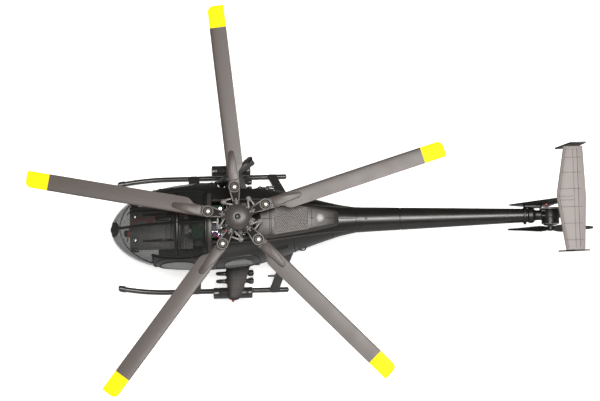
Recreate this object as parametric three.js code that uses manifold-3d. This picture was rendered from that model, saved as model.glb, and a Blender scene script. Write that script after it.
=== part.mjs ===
// Remote control helicopter: a light scout airframe with a five-blade main rotor.
// Millimetres, +Z up, nose towards -X, starboard towards +Y. Heights are above the ground that
// the skids stand on, and x and y are measured from the main rotor's axis. The last lines move
// the whole model so that its origin is under the middle of its bounding box.

import * as THREE from 'three';
import { mergeVertices } from 'three/addons/utils/BufferGeometryUtils.js';
import Module from 'manifold-3d';

const wasm = await Module();
wasm.setup();

// ---------------------------------------------------------------- driving dimensions

const GAP = 0.3;                  // clearance between neighbouring pieces

// Main rotor
const ROTOR_RADIUS = 145;
const BLADE_COUNT = 5;
const ROTOR_PLANE = 102;          // height of the blades
const FIRST_BLADE = 23.5;         // degrees from the tail boom to the first blade, seen from above
const BLADE_SWING = [-6.5, 0.4, 1.5, -7.0, 2.9];   // degrees that each blade has swung on its bolt
const BOLT_RADIUS = 20.4;         // rotor axis to blade bolt
const LEADING = 3.8;              // blade's leading edge ahead of the bolt
const TRAILING = -7.4;            // blade's trailing edge behind the bolt
const HORN = { x: 9.4, y: 6.4 };  // pitch horn ball, along and across the blade

// Cabin and tail
const NOSE_X = -92.6;
const BODY_REAR_X = 78;
const SKIN = 1.2;
const BOOM_Z = 70.5;
const BOOM_END_X = 194.6;
const FIN_Y = 7.4;
const STABILIZER = { z: 101.3, halfSpan: 34, thickness: 2.2 };
const TAIL_MOTOR = { x: 209.5, radius: 5.2, y0: -7.3, y1: 4.0 };
const TAIL_ROTOR_RADIUS = 28.8;

// Openings in the cabin
const DOOR = { x0: -18, x1: 12, z0: 40, z1: 76, openAngle: 42 };
const MAST_OPENING = { x0: -19, centreX: 1, radius: 13 };

// Undercarriage and stores
const SKID = { y: 40.6, radius: 1.8, rearX: 28, frontX: -93.4, bendX: -58, rise: 3, toeIn: 3.6 };
const LEG_HALF_THICK = 1.3;
const END_PLATE_CANT = 4.5;       // degrees that the top leans outwards
const WING = { z0: 22.8, z1: 26.1, rootY: 10, tipY: 49.2 };
const POD = { x0: -24.2, x1: 3.0, y: 43.4, z: 17.6, radius: 3.9 };

// Drive
const GEAR = { teeth: 48, pitchRadius: 16.5, z0: 57.8, z1: 61 };
const PINION = { teeth: 8, pitchRadius: 2.75, x: -19.5 };
const SHAFT_RADIUS = 1.5;
const SERVO_ARM = 5.75;
const LINK_Z = 70;                // height of the servo arms
const SERVO_LINKS = [[-4.75, -8.2], [-4.75, 8.2], [9.5, 0]];

// ---------------------------------------------------------------- materials

const FINISHES = {
  shell: { color: 0x2b2c2a, roughness: 0.35, metalness: 0.0 },
  blade: { color: 0x736c68, roughness: 0.45, metalness: 0.0 },
  black: { color: 0x161616, roughness: 0.5, metalness: 0.0 },
  grip: { color: 0x4a4744, roughness: 0.45, metalness: 0.1 },
  grey: { color: 0x8f8c86, roughness: 0.5, metalness: 0.0 },
  pale: { color: 0xc8beb8, roughness: 0.5, metalness: 0.0 },
  clear: { color: 0x9aa39c, roughness: 0.1, metalness: 0.0, transparent: true, opacity: 0.35 },
  lens: { color: 0xf2f2ee, roughness: 0.2, metalness: 0.0 },
  steel: { color: 0xb8b8b8, roughness: 0.25, metalness: 1.0 },
  board: { color: 0x14653a, roughness: 0.5, metalness: 0.0 },
  battery: { color: 0x3a4a78, roughness: 0.4, metalness: 0.0 },
  gear: { color: 0xe8e4da, roughness: 0.45, metalness: 0.0 },
};

const materials = Object.fromEntries(
  Object.entries(FINISHES).map(([name, values]) => [name, new THREE.MeshStandardMaterial(values)]),
);

// ---------------------------------------------------------------- geometry helpers

// A closed three.js geometry as a solid that can be joined and cut.
function solid(geometry) {
  const bare = geometry.clone();
  bare.deleteAttribute('normal');
  bare.deleteAttribute('uv');
  const merged = mergeVertices(bare, 1e-5);
  return new wasm.Manifold(new wasm.Mesh({
    numProp: 3,
    vertProperties: new Float32Array(merged.attributes.position.array),
    triVerts: new Uint32Array(merged.index.array),
  }));
}

function geometryOf(manifold) {
  const mesh = manifold.getMesh();
  const geometry = new THREE.BufferGeometry();
  geometry.setAttribute('position', new THREE.BufferAttribute(new Float32Array(mesh.vertProperties), 3));
  geometry.setIndex(new THREE.BufferAttribute(new Uint32Array(mesh.triVerts), 1));
  geometry.computeVertexNormals();
  return geometry;
}

function join(...solids) {
  return solids.reduce((whole, piece) => whole.add(piece));
}

function cut(whole, ...tools) {
  return tools.reduce((rest, tool) => rest.subtract(tool), whole);
}

function box(x0, x1, y0, y1, z0, z1) {
  const geometry = new THREE.BoxGeometry(x1 - x0, y1 - y0, z1 - z0);
  return solid(geometry.translate((x0 + x1) / 2, (y0 + y1) / 2, (z0 + z1) / 2));
}

// Thin bars have fewer sides than thick ones.
function sidesFor(radius) {
  return Math.max(10, Math.min(24, 8 + 2 * Math.round(radius)));
}

// A round bar between two places on one axis. `across` holds its centre on the other two axes.
function bar(axis, radius, from, to, across = [0, 0], sides = sidesFor(radius)) {
  const geometry = new THREE.CylinderGeometry(radius, radius, to - from, sides);
  const middle = (from + to) / 2;
  if (axis === 'x') geometry.rotateZ(-Math.PI / 2).translate(middle, across[0], across[1]);
  if (axis === 'y') geometry.translate(across[0], middle, across[1]);
  if (axis === 'z') geometry.rotateX(Math.PI / 2).translate(across[0], across[1], middle);
  return solid(geometry);
}

function ball(radius, x, y, z) {
  return solid(new THREE.SphereGeometry(radius, 8, 6).translate(x, y, z));
}

function outline(points) {
  return new THREE.Shape(points.map(([a, b]) => new THREE.Vector2(a, b)));
}

// An outline in the plane z = 0, raised from z0 to z1.
function slab(points, z0, z1) {
  const geometry = new THREE.ExtrudeGeometry(outline(points), { depth: z1 - z0, bevelEnabled: false });
  return solid(geometry.translate(0, 0, z0));
}

// An outline of x and z, thick from y0 to y1.
function sideSlab(points, y0, y1) {
  const geometry = new THREE.ExtrudeGeometry(outline(points), { depth: y1 - y0, bevelEnabled: false });
  return solid(geometry.rotateX(Math.PI / 2).translate(0, y1, 0));
}

// A closed skin through a row of sections, each a ring of the same number of points.
function loft(sections) {
  const count = sections[0].length;
  const positions = sections.flat(2);
  const index = [];
  for (let s = 0; s + 1 < sections.length; s += 1) {
    for (let i = 0; i < count; i += 1) {
      const a = s * count + i;
      const b = s * count + (i + 1) % count;
      index.push(a, b, a + count, b, b + count, a + count);
    }
  }
  const middleOf = (ring) => [0, 1, 2].map((k) => ring.reduce((sum, p) => sum + p[k], 0) / count);
  const first = sections.length * count;
  positions.push(...middleOf(sections[0]), ...middleOf(sections.at(-1)));
  for (let i = 0; i < count; i += 1) {
    const next = (i + 1) % count;
    const last = (sections.length - 1) * count;
    index.push(first, next, i, first + 1, last + i, last + next);
  }
  const geometry = new THREE.BufferGeometry();
  geometry.setAttribute('position', new THREE.BufferAttribute(new Float32Array(positions), 3));
  geometry.setIndex(index);
  const whole = solid(geometry);
  if (whole.volume() > 0) return whole;
  geometry.setIndex(index.reverse());
  return solid(geometry);
}

// A ring of points across the x axis: an ellipse whose power sets how square it is.
function section(x, y, z, halfWidth, halfHeight, power, sides) {
  const round = (value) => Math.sign(value) * Math.abs(value) ** (2 / power);
  return Array.from({ length: sides }, (_, i) => {
    const angle = 2 * Math.PI * (i + 0.5) / sides;
    return [x, y + halfWidth * round(Math.cos(angle)), z + halfHeight * round(Math.sin(angle))];
  });
}

// A smooth curve through points, read as a function of the first coordinate.
function smooth(points) {
  const slope = (i) => {
    const a = points[Math.max(i - 1, 0)];
    const b = points[Math.min(i + 1, points.length - 1)];
    return (b[1] - a[1]) / (b[0] - a[0]);
  };
  return (x) => {
    const next = points.findIndex((p) => p[0] > x);
    const i = next < 0 ? points.length - 2 : Math.max(next - 1, 0);
    const [x0, y0] = points[i];
    const [x1, y1] = points[i + 1];
    const width = x1 - x0;
    const t = Math.min(1, Math.max(0, (x - x0) / width));
    const s = 1 - t;
    return y0 * (1 + 2 * t) * s * s + y1 * (1 + 2 * s) * t * t
      + width * (slope(i) * t * s * s - slope(i + 1) * s * t * t);
  };
}

const model = new THREE.Group();

function place(name, shape, finish, parent = model) {
  const geometry = shape.isBufferGeometry ? shape : geometryOf(shape);
  const mesh = new THREE.Mesh(geometry, materials[finish]);
  mesh.name = name;
  parent.add(mesh);
  return mesh;
}

// ---------------------------------------------------------------- cabin shape

// Ahead of startX a curve follows a rounded nose, and behind it the given points.
function noseCurve({ startX, tip, full, power, root }, rear) {
  const rearCurve = smooth(rear);
  return (x) => {
    if (x >= startX) return rearCurve(x);
    const t = Math.min(1, (startX - x) / (startX - NOSE_X));
    return tip + (full - tip) * (1 - t ** power) ** (1 / root);
  };
}

const halfWidth = noseCurve(
  { startX: -28, tip: 0, full: 29.9, power: 2.3, root: 2 },
  [[-28, 29.9], [-8, 29.2], [12, 26.4], [41, 18.1], [66, 10.9], [BODY_REAR_X, 8.6]],
);
const topZ = noseCurve(
  { startX: -20, tip: 47, full: 87, power: 1.8, root: 1.2 },
  [[-20, 87], [0, 87], [20, 86.2], [40, 83.6], [60, 80.7], [BODY_REAR_X, BOOM_Z + 8.6]],
);
const bottomZ = noseCurve(
  { startX: -42.6, tip: 47, full: 22, power: 2, root: 1.8 },
  [[-42.6, 22], [-10, 21.6], [6, 22.6], [16, 26], [30, 33.5], [60, 54.5], [BODY_REAR_X, BOOM_Z - 8.6]],
);
const squareness = (x) => 2 + 0.35 * Math.sin(Math.PI * (x - NOSE_X) / (BODY_REAR_X - NOSE_X));

const NOSE_STATIONS = [0.25, 1.2, 3, 6, 10, 16, 23, 32, 42];
const BODY_STATIONS = [-38, -24, -8, 8, 22, 36, 50, 64, BODY_REAR_X];
const BODY_SIDES = 24;

// The cabin's solid form, drawn in from its skin by `inset`.
function bodyForm(inset) {
  const rear = BODY_REAR_X + (inset > 0 ? 1 : 0);
  const stations = [...NOSE_STATIONS.map((d) => NOSE_X + d), ...BODY_STATIONS];
  const rings = stations.filter((x) => halfWidth(x) > inset + 0.8 && topZ(x) - bottomZ(x) > 2 * inset + 1)
    .map((x) => {
      const top = topZ(x) - inset;
      const bottom = bottomZ(x) + inset;
      const at = x === BODY_REAR_X ? rear : x;
      return section(at, 0, (top + bottom) / 2, halfWidth(x) - inset, (top - bottom) / 2, squareness(x), BODY_SIDES);
    });
  return loft(rings);
}

const bodyOuter = bodyForm(0);
const bodyInner = bodyForm(SKIN);
const bodyClear = bodyForm(-GAP);
const skin = cut(bodyOuter, bodyInner);

// The clear nose: everything ahead of the front doors, and the roof panes above them.
function canopyRegion(gap) {
  const doorFront = -62 - gap;
  const roofEnd = -23 - gap;
  const edge = [[NOSE_X - 10, 0], [doorFront, 0], [doorFront, 66 + gap], [roofEnd, 79.5 + gap],
    [roofEnd, 120], [NOSE_X - 10, 120]];
  return sideSlab(edge, -60, 60);
}

const NOSE_CAP = { radius: 5.6, z: 49, rearX: -84 };
const noseCapRegion = (gap) => bar('x', NOSE_CAP.radius - gap, NOSE_X - 5, NOSE_CAP.rearX - gap, [0, NOSE_CAP.z]);
const NOSE_LAMP_RADIUS = 1.4;

function doorRegion(side, gap) {
  const reach = [10, 60].map((y) => y * side).sort((a, b) => a - b);
  return box(DOOR.x0 + gap, DOOR.x1 - gap, ...reach, DOOR.z0 + gap, DOOR.z1 - gap);
}

function mastOpening(gap) {
  const { x0, centreX, radius } = MAST_OPENING;
  const half = radius + gap;
  return join(box(x0 - gap, centreX, -half, half, 72, 120), bar('z', half, 72, 120, [centreX, 0], 32));
}

function buildCabin() {
  const opened = cut(skin, canopyRegion(-GAP / 2), doorRegion(1, 0), doorRegion(-1, 0), mastOpening(0));
  const half = (side) => {
    const reach = [GAP / 2, 80].map((y) => y * side).sort((a, b) => a - b);
    return box(-120, 120, ...reach, 0, 120);
  };
  place('fuselage_port', opened.intersect(half(-1)), 'shell');
  place('fuselage_starboard', opened.intersect(half(1)), 'shell');
  place('canopy', cut(skin.intersect(canopyRegion(GAP / 2)), noseCapRegion(0)), 'clear');

  const lampHole = bar('x', NOSE_LAMP_RADIUS + GAP, NOSE_X - 5, -80, [0, 47]);
  place('nose_cap', cut(skin.intersect(noseCapRegion(GAP)), lampHole), 'black');
  place('nose_lamp', bar('x', NOSE_LAMP_RADIUS, NOSE_X, NOSE_X + 3.6, [0, 47]), 'lens');
}

// The port door is shut. The starboard door stands open on its front edge.
function buildDoors() {
  place('door_port', skin.intersect(doorRegion(-1, GAP)), 'shell');
  const hinge = new THREE.Group();
  hinge.position.set(DOOR.x0, halfWidth(DOOR.x0), 0);
  hinge.rotation.z = THREE.MathUtils.degToRad(DOOR.openAngle);
  model.add(hinge);
  const door = place('door_starboard', skin.intersect(doorRegion(1, GAP)), 'shell', hinge);
  door.position.copy(hinge.position).negate();
}

// ---------------------------------------------------------------- fairing behind the mast

const FAIRING = {
  side: [[4, 12.8], [20, 12.8], [46, 8.7], [58, 6.4], [65.2, 4.9], [66.4, 3.6]],
  top: [[0, 91.4], [22, 91.8], [46, 89.4], [58, 86.6], [68, 83.4]],
  wall: 1.2,
};
const SCREEN = { x0: 23.5, x1: 46, frontY: 10.4, rearY: 7.2 };

function fairingForm(inset) {
  const flank = FAIRING.side.map(([x, y]) => [x - inset * (x > 60 ? 1 : 0), y - inset]);
  const plan = [...flank, ...flank.map(([x, y]) => [x, -y]).reverse()];
  const ridge = FAIRING.top.map(([x, z]) => [x, z - inset]);
  return slab(plan, 70, 100).intersect(sideSlab([[0, 70], [68, 70], ...ridge.reverse()], -20, 20));
}

function screenRegion(gap) {
  const { x0, x1, frontY, rearY } = SCREEN;
  const edge = [[x0 + gap, frontY - gap], [x0 + gap, gap - frontY], [x1 - gap, gap - rearY], [x1 - gap, rearY - gap]];
  return slab(edge, 70, 100);
}

function buildFairing() {
  const front = bar('z', MAST_OPENING.radius + GAP, 60, 110, [MAST_OPENING.centreX, 0], 32);
  const innerFront = bar('z', MAST_OPENING.radius + GAP + FAIRING.wall, 60, 110, [MAST_OPENING.centreX, 0], 32);
  const hollow = cut(fairingForm(FAIRING.wall), innerFront);
  const shell = cut(fairingForm(0), hollow, front, bodyClear);
  place('mast_fairing', cut(shell, screenRegion(0)), 'shell');
  const sheet = cut(fairingForm(0.4), fairingForm(1.2));
  place('intake_screen', sheet.intersect(screenRegion(GAP)), 'grey');

  const beaconZ = 88.5;
  const dome = new THREE.LatheGeometry(
    [[0, 0], [2.7, 0], [2.7, 0.6], [2.1, 1.5], [0, 2.0]].map(([r, z]) => new THREE.Vector2(r, z)),
    20,
  );
  place('beacon_lens', dome.rotateX(Math.PI / 2), 'lens').position.set(54, 0, beaconZ);
}

// ---------------------------------------------------------------- inside the cabin

function buildFrame() {
  const floor = box(-70, 16, -11, 11, 31, 33);
  const deck = box(-78, -35, -15, 15, 52, 53.4);
  const frontWall = box(-38, -35, -8, 8, 32, 81);
  const lowerBeam = box(-36, 20.5, -8, 8, 53, 56);
  const rearColumn = box(13, 16, -8, 8, 32, 54);
  const rearUpright = box(18, 20.5, -8, 8, 55, 81);
  const rails = [-1, 1].map((side) => {
    const reach = [4.6, 6.8].map((y) => y * side).sort((a, b) => a - b);
    return box(-36, 20.5, ...reach, 78.5, 81);
  });
  const bearingBlock = box(-5, 5, -5, 5, 78.5, 81.6);
  const frame = join(floor, deck, frontWall, lowerBeam, rearColumn, rearUpright, ...rails, bearingBlock);
  const holes = [
    bar('z', 3.5, 52, 57),
    bar('z', 3.5, 77, 83),
    bar('z', 1.4, 52, 57, [PINION.x, 0]),
  ];
  place('main_frame', cut(frame, ...holes), 'black');
}

function buildElectronics() {
  place('battery', box(-70, -42, -11, 11, 33.4, 50), 'battery');
  place('flight_board', box(-33, -10.5, -11, 11, 81.4, 82.4), 'board');
  const body = { thick: 7, long: 16.8, z0: 62.8, z1: 77.8 };
  [['servo_port', -1], ['servo_starboard', 1]].forEach(([name, side]) => {
    const reach = [9.2, 9.2 + body.thick].map((y) => y * side).sort((a, b) => a - b);
    place(name, box(-7, -7 + body.long, ...reach, body.z0, body.z1), 'black');
  });
  place('servo_rear', box(10.8, 10.8 + 6.8, -6, -6 + body.long, body.z0, body.z1), 'black');
}

// A lever in the x-z plane that reaches from its pivot towards -x.
function servoLever() {
  const lever = join(
    sideSlab([[0, 1.7], [0, -1.7], [-SERVO_ARM, -1.1], [-SERVO_ARM, 1.1]], -0.7, 0.7),
    bar('y', 1.8, -0.7, 0.7),
    bar('y', 1.2, -0.7, 0.7, [-SERVO_ARM, 0]),
  );
  return geometryOf(lever);
}

function buildServoArms() {
  const [port, starboard, rear] = SERVO_LINKS;
  [['servo_arm_port', port], ['servo_arm_starboard', starboard]].forEach(([name, [x, y]]) => {
    place(name, servoLever(), 'gear').position.set(x + SERVO_ARM, y, LINK_Z);
  });
  const rearArm = place('servo_arm_rear', servoLever(), 'gear');
  rearArm.position.set(rear[0], rear[1] + SERVO_ARM, LINK_Z);
  rearArm.rotation.z = Math.PI / 2;
}

// ---------------------------------------------------------------- drive

// Straight-flanked teeth, the first one at the given angle.
function gearOutline({ teeth, pitchRadius }, firstAngle) {
  const module = 2 * pitchRadius / teeth;
  const tip = pitchRadius + 0.85 * module;
  const root = pitchRadius - 1.15 * module;
  const pitch = 2 * Math.PI / teeth;
  const at = (radius, angle) => [radius * Math.cos(angle), radius * Math.sin(angle)];
  return Array.from({ length: teeth }, (_, i) => {
    const middle = firstAngle + i * pitch;
    return [at(root, middle - 0.26 * pitch), at(tip, middle - 0.12 * pitch),
      at(tip, middle + 0.12 * pitch), at(root, middle + 0.26 * pitch)];
  }).flat();
}

function buildDrive() {
  const motorTop = 52.7;
  const motor = join(bar('z', 7, 36, motorTop), bar('z', 4.6, 35, 37));
  place('main_motor', cut(motor, bar('z', 1.1, 48, 60)), 'steel').position.x = PINION.x;

  const pinion = join(slab(gearOutline(PINION, 0), 57.4, 61.4), bar('z', 0.8, 49, 58));
  place('motor_pinion', pinion, 'steel').position.x = PINION.x;

  const halfTooth = Math.PI / GEAR.teeth;
  const disc = slab(gearOutline(GEAR, Math.PI + halfTooth), GEAR.z0, GEAR.z1);
  const windows = Array.from({ length: 5 }, (_, i) => {
    const angle = 2 * Math.PI * i / 5;
    return bar('z', 3.6, 50, 70, [9.4 * Math.cos(angle), 9.4 * Math.sin(angle)], 10);
  });
  const gear = cut(join(disc, bar('z', 3.6, GEAR.z0 - 0.8, 63.6)), ...windows, bar('z', SHAFT_RADIUS + GAP, 50, 70));
  place('main_gear', gear, 'gear');

  place('main_shaft', bar('z', SHAFT_RADIUS, 50, 104.2), 'steel');
  const bearing = (z0, z1) => cut(bar('z', 3.2, z0, z1), bar('z', SHAFT_RADIUS + GAP, z0 - 1, z1 + 1));
  place('lower_bearing', bearing(53.2, 55.8), 'steel');
  place('upper_bearing', bearing(78.8, 81.4), 'steel');
}

function buildSwashplate() {
  const bore = bar('z', SHAFT_RADIUS + GAP, 80, 95);
  const fixedArms = SERVO_LINKS.map(([x, y]) => {
    const reach = Math.hypot(x, y);
    const arm = join(
      box(4, reach, -1, 1, 85.8, 87.2),
      ball(1.1, reach, 0, 86.5),
      bar('z', 0.7, LINK_Z + 1.55, 86.5, [reach, 0], 8),
    );
    return arm.rotate([0, 0, THREE.MathUtils.radToDeg(Math.atan2(y, x))]);
  });
  place('swash_fixed', cut(join(bar('z', 6.5, 85.4, 87.6), ...fixedArms), bore), 'grip');

  const hornReach = Math.hypot(HORN.x, HORN.y);
  const hornAngle = THREE.MathUtils.radToDeg(Math.atan2(HORN.y, HORN.x));
  const turningArms = Array.from({ length: BLADE_COUNT }, (_, i) => {
    const arm = join(
      box(4, hornReach, -0.9, 0.9, 88.4, 89.8),
      ball(1.1, hornReach, 0, 89.1),
      bar('z', 0.7, 89.1, 99.3, [hornReach, 0], 8),
    );
    return arm.rotate([0, 0, FIRST_BLADE + hornAngle + i * 360 / BLADE_COUNT]);
  });
  place('swash_turning', cut(join(bar('z', 6, 88, 90.2), ...turningArms), bore), 'grip');
}

// ---------------------------------------------------------------- rotor head

function buildHub() {
  const spindles = Array.from({ length: BLADE_COUNT }, (_, i) => (
    bar('x', 1.2, 3, 13.6, [0, ROTOR_PLANE]).rotate([0, 0, FIRST_BLADE + i * 360 / BLADE_COUNT])
  ));
  const block = join(bar('z', 6.2, 99.2, 104.6), bar('z', 3.2, 96.6, 99.5), ...spindles);
  place('rotor_hub', cut(block, bar('z', SHAFT_RADIUS + GAP, 90, 104.35)), 'grip');

  const profile = [[0, 104.9], [8.5, 104.9], [8.5, 105.7], [7.7, 107.1], [6.0, 108.2], [3.6, 108.9],
    [1.7, 109.1], [1.7, 108.1], [0, 108.1]];
  const dome = new THREE.LatheGeometry(profile.map(([r, z]) => new THREE.Vector2(r, z)), 32);
  place('hub_cap', dome.rotateX(Math.PI / 2), 'grip');
}

// A fork that turns on the hub's spindle. Its bolt is the pin that the blade swings on.
function gripSolid() {
  const ringRadius = 4.0;
  const flank = Array.from({ length: 9 }, (_, i) => {
    const angle = THREE.MathUtils.degToRad(-100 + i * 200 / 8);
    return [BOLT_RADIUS + ringRadius * Math.cos(angle), ringRadius * Math.sin(angle)];
  });
  const arm = slab([[10.2, 2.7], [10.2, -2.7], ...flank], -3.1, 3.1);
  const slot = box(15.6, 30, -6, 6, -1.45, 1.45);
  const sleeve = bar('x', 2.6, 7.2, 13);
  const bore = bar('x', SHAFT_RADIUS, 7, 14);
  const bolt = join(
    bar('z', 1.3, -3.1, 3.2, [BOLT_RADIUS, 0]),
    bar('z', 2.1, 3.0, 3.7, [BOLT_RADIUS, 0]),
  );
  const horn = join(box(8.4, 10.4, 1.8, HORN.y, -1.8, -0.3), ball(1.1, HORN.x, HORN.y, -1.05));
  return join(cut(join(arm, sleeve, horn), bore, slot), bolt);
}

// Leading edge, trailing edge and half thickness at places along the blade from its bolt.
const BLADE_LENGTH = ROTOR_RADIUS - BOLT_RADIUS;
const BLADE_SECTIONS = [
  [1.5, LEADING, -3.6, 1.1], [12.5, LEADING, -3.9, 1.1], [18, LEADING, TRAILING, 0.85],
  [BLADE_LENGTH - 15.2, LEADING, TRAILING, 0.8], [BLADE_LENGTH - 3.6, LEADING, TRAILING, 0.75],
  [BLADE_LENGTH - 0.9, 2.3, TRAILING, 0.65], [BLADE_LENGTH, 0.2, TRAILING + 0.3, 0.5],
];
const AIRFOIL = [[0, 0.15], [0.1, 0.75], [0.35, 1], [1, 0.25]];

function bladeSolid() {
  const rings = BLADE_SECTIONS.map(([x, lead, trail, half]) => {
    const upper = AIRFOIL.map(([f, h]) => [x, lead + (trail - lead) * f, half * h]);
    const lower = AIRFOIL.map(([f, h]) => [x, lead + (trail - lead) * f, -half * h]).reverse();
    return [...upper, ...lower];
  });
  const root = bar('z', 3.8, -1.1, 1.1);
  return cut(join(loft(rings), root), bar('z', 1.6, -5, 5));
}

function buildBlades() {
  const grip = geometryOf(gripSolid());
  const blade = geometryOf(bladeSolid());
  for (let i = 0; i < BLADE_COUNT; i += 1) {
    const spoke = new THREE.Group();
    spoke.position.z = ROTOR_PLANE;
    spoke.rotation.z = THREE.MathUtils.degToRad(FIRST_BLADE + i * 360 / BLADE_COUNT);
    model.add(spoke);
    place(`blade_grip_${i + 1}`, grip, 'grip', spoke);
    const mesh = place(`blade_${i + 1}`, blade, 'blade', spoke);
    mesh.position.x = BOLT_RADIUS;
    mesh.rotation.z = THREE.MathUtils.degToRad(BLADE_SWING[i]);
  }
}

// ---------------------------------------------------------------- tail

const boomRadius = smooth([[BODY_REAR_X, 8.6], [108, 7.6], [143, 6.4], [176, 5.2], [BOOM_END_X, 4.55]]);

function buildBoom() {
  const stations = [BODY_REAR_X + GAP, 108, 143, 176, BOOM_END_X];
  const wall = 1;
  const outer = stations.map((x) => new THREE.Vector2(boomRadius(x), x));
  const inner = stations.map((x) => new THREE.Vector2(boomRadius(x) - wall, x)).reverse();
  const spigot = [[6.0, 68], [7.0, 68], [7.0, BODY_REAR_X + GAP]].map(([r, x]) => new THREE.Vector2(r, x));
  const profile = [...outer, ...inner.slice(0, -1), new THREE.Vector2(6.0, 84), ...spigot];
  const geometry = new THREE.LatheGeometry([...profile, outer[0]], 20);
  place('tail_boom', geometry.rotateZ(-Math.PI / 2).translate(0, 0, BOOM_Z), 'shell');
}

function buildTailDrive() {
  const centre = [0, BOOM_Z];
  const motorCentre = [TAIL_MOTOR.x, BOOM_Z];
  const strap = cut(bar('x', 6.1, 191.5, 193.6, centre), bar('x', 4.9, 190, 195, centre));
  const sidePlate = box(191.5, 204, 5.0, 6.7, 66, 75);
  const plug = bar('x', 5.2, 195, 198, centre);
  const arm = bar('x', 3.4, 197, 205, centre);
  const cradle = bar('y', 6.9, -2, 3.4, motorCentre);
  const mount = cut(join(strap, sidePlate, plug, arm, cradle), bar('y', TAIL_MOTOR.radius + GAP, -10, 10, motorCentre));
  place('tail_motor_mount', mount, 'black');

  const can = bar('y', TAIL_MOTOR.radius, TAIL_MOTOR.y0, TAIL_MOTOR.y1, motorCentre);
  place('tail_motor', cut(can, bar('y', 1.1, -12, -3, motorCentre)), 'steel');

  // Stations along a tail rotor blade: place, chord and pitch in degrees.
  const stations = [[1.5, 3.4, 40], [7.5, 7.0, 29], [18, 6.4, 18], [TAIL_ROTOR_RADIUS, 4.6, 10]];
  const bladeAxisY = -9.3;
  const rings = stations.map(([x, chord, pitch]) => {
    const turn = THREE.MathUtils.degToRad(pitch);
    return [[-0.5, 0.15], [0, 0.55], [0.5, 0.15], [0.5, -0.15], [0, -0.55], [-0.5, -0.15]].map(([c, t]) => (
      [x, bladeAxisY + c * chord * Math.sin(turn) + t * Math.cos(turn), c * chord * Math.cos(turn) - t * Math.sin(turn)]
    ));
  });
  const oneBlade = loft(rings);
  const rotor = join(
    oneBlade,
    oneBlade.rotate([0, 180, 0]),
    bar('y', 2.5, -10.9, -7.7),
    bar('y', 0.8, -8, -4),
  );
  place('tail_rotor', rotor, 'black').position.set(TAIL_MOTOR.x, 0, BOOM_Z);
}

function buildTailSurfaces() {
  const finTop = STABILIZER.z - STABILIZER.thickness / 2 - GAP;
  const finEdge = [[182, 70.6], [190, 63.8], [209, 57.4], [213.4, 74], [227, finTop], [211.6, finTop]];
  place('tail_fin', sideSlab(finEdge, FIN_Y - 0.5, FIN_Y + 0.5), 'black');

  const { z, halfSpan, thickness } = STABILIZER;
  const plan = [[216.6, -halfSpan], [229.4, -halfSpan], [231.2, 0.5], [230, halfSpan], [217, halfSpan], [211.5, 1.5]];
  const panel = slab(plan, -thickness / 2, thickness / 2);
  place('stabilizer', panel, 'pale').position.set(0, FIN_Y, z);

  const cant = THREE.MathUtils.degToRad(END_PLATE_CANT);
  const plate = geometryOf(sideSlab([[211.6, -8.4], [224.5, -8.4], [232.2, 8.6], [221.4, 8.6]], -0.45, 0.45));
  [['end_plate_port', -1], ['end_plate_starboard', 1]].forEach(([name, side]) => {
    const mesh = place(name, plate, 'black');
    mesh.position.set(0, FIN_Y + side * (halfSpan + 1.1), z);
    mesh.rotation.x = -side * cant;
  });
}

// ---------------------------------------------------------------- undercarriage and stores

function skidSolid() {
  const { y, radius, rearX, frontX, bendX, rise, toeIn } = SKID;
  const bend = (x) => Math.max(0, (bendX - x) / (bendX - frontX)) ** 2;
  const stations = [rearX, -20, -58, -66, -74, -82, -88, -88.4, frontX];
  const rings = stations.map((x) => {
    const thick = radius + (x < -88.2 ? 0.45 : 0);
    const corner = thick / Math.cos(Math.PI / 8);
    return section(x, y - toeIn * bend(x), radius + rise * bend(x), corner, corner, 2, 8);
  });
  return loft(rings);
}

// A streamlined leg from the skid up into the cabin's side. `foot` and `top` are x, y, z and chord.
function legSolid(foot, top) {
  const ring = ([x, y, z, chord]) => Array.from({ length: 10 }, (_, i) => {
    const angle = 2 * Math.PI * i / 10;
    return [x + chord / 2 * Math.cos(angle), y + LEG_HALF_THICK * Math.sin(angle), z];
  });
  return cut(loft([ring(foot), ring(top)]), bodyClear);
}

function missile(y) {
  const z = 18.4;
  const nose = new THREE.LatheGeometry(
    [[0, -22.6], [0.9, -21.2], [1.5, -17.5], [1.5, 4.2], [0, 4.2]].map(([r, x]) => new THREE.Vector2(r, x)),
    10,
  );
  const body = solid(nose.rotateZ(-Math.PI / 2).translate(0, y, z));
  return join(body, box(0.4, 3.8, y - 2.3, y + 2.3, z - 0.25, z + 0.25), box(0.4, 3.8, y - 0.25, y + 0.25, z - 2.3, z + 2.3));
}

function wingSolid() {
  const { z0, z1, rootY, tipY } = WING;
  const edge = [[-16, rootY], [3.4, rootY], [2.2, 25], [-4.4, 46.5], [-6.4, 48.8], [-9, tipY], [-12, 48.8], [-13.8, 46.5], [-15, 25]];
  return cut(slab(edge, z0, z1), bodyClear);
}

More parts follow.
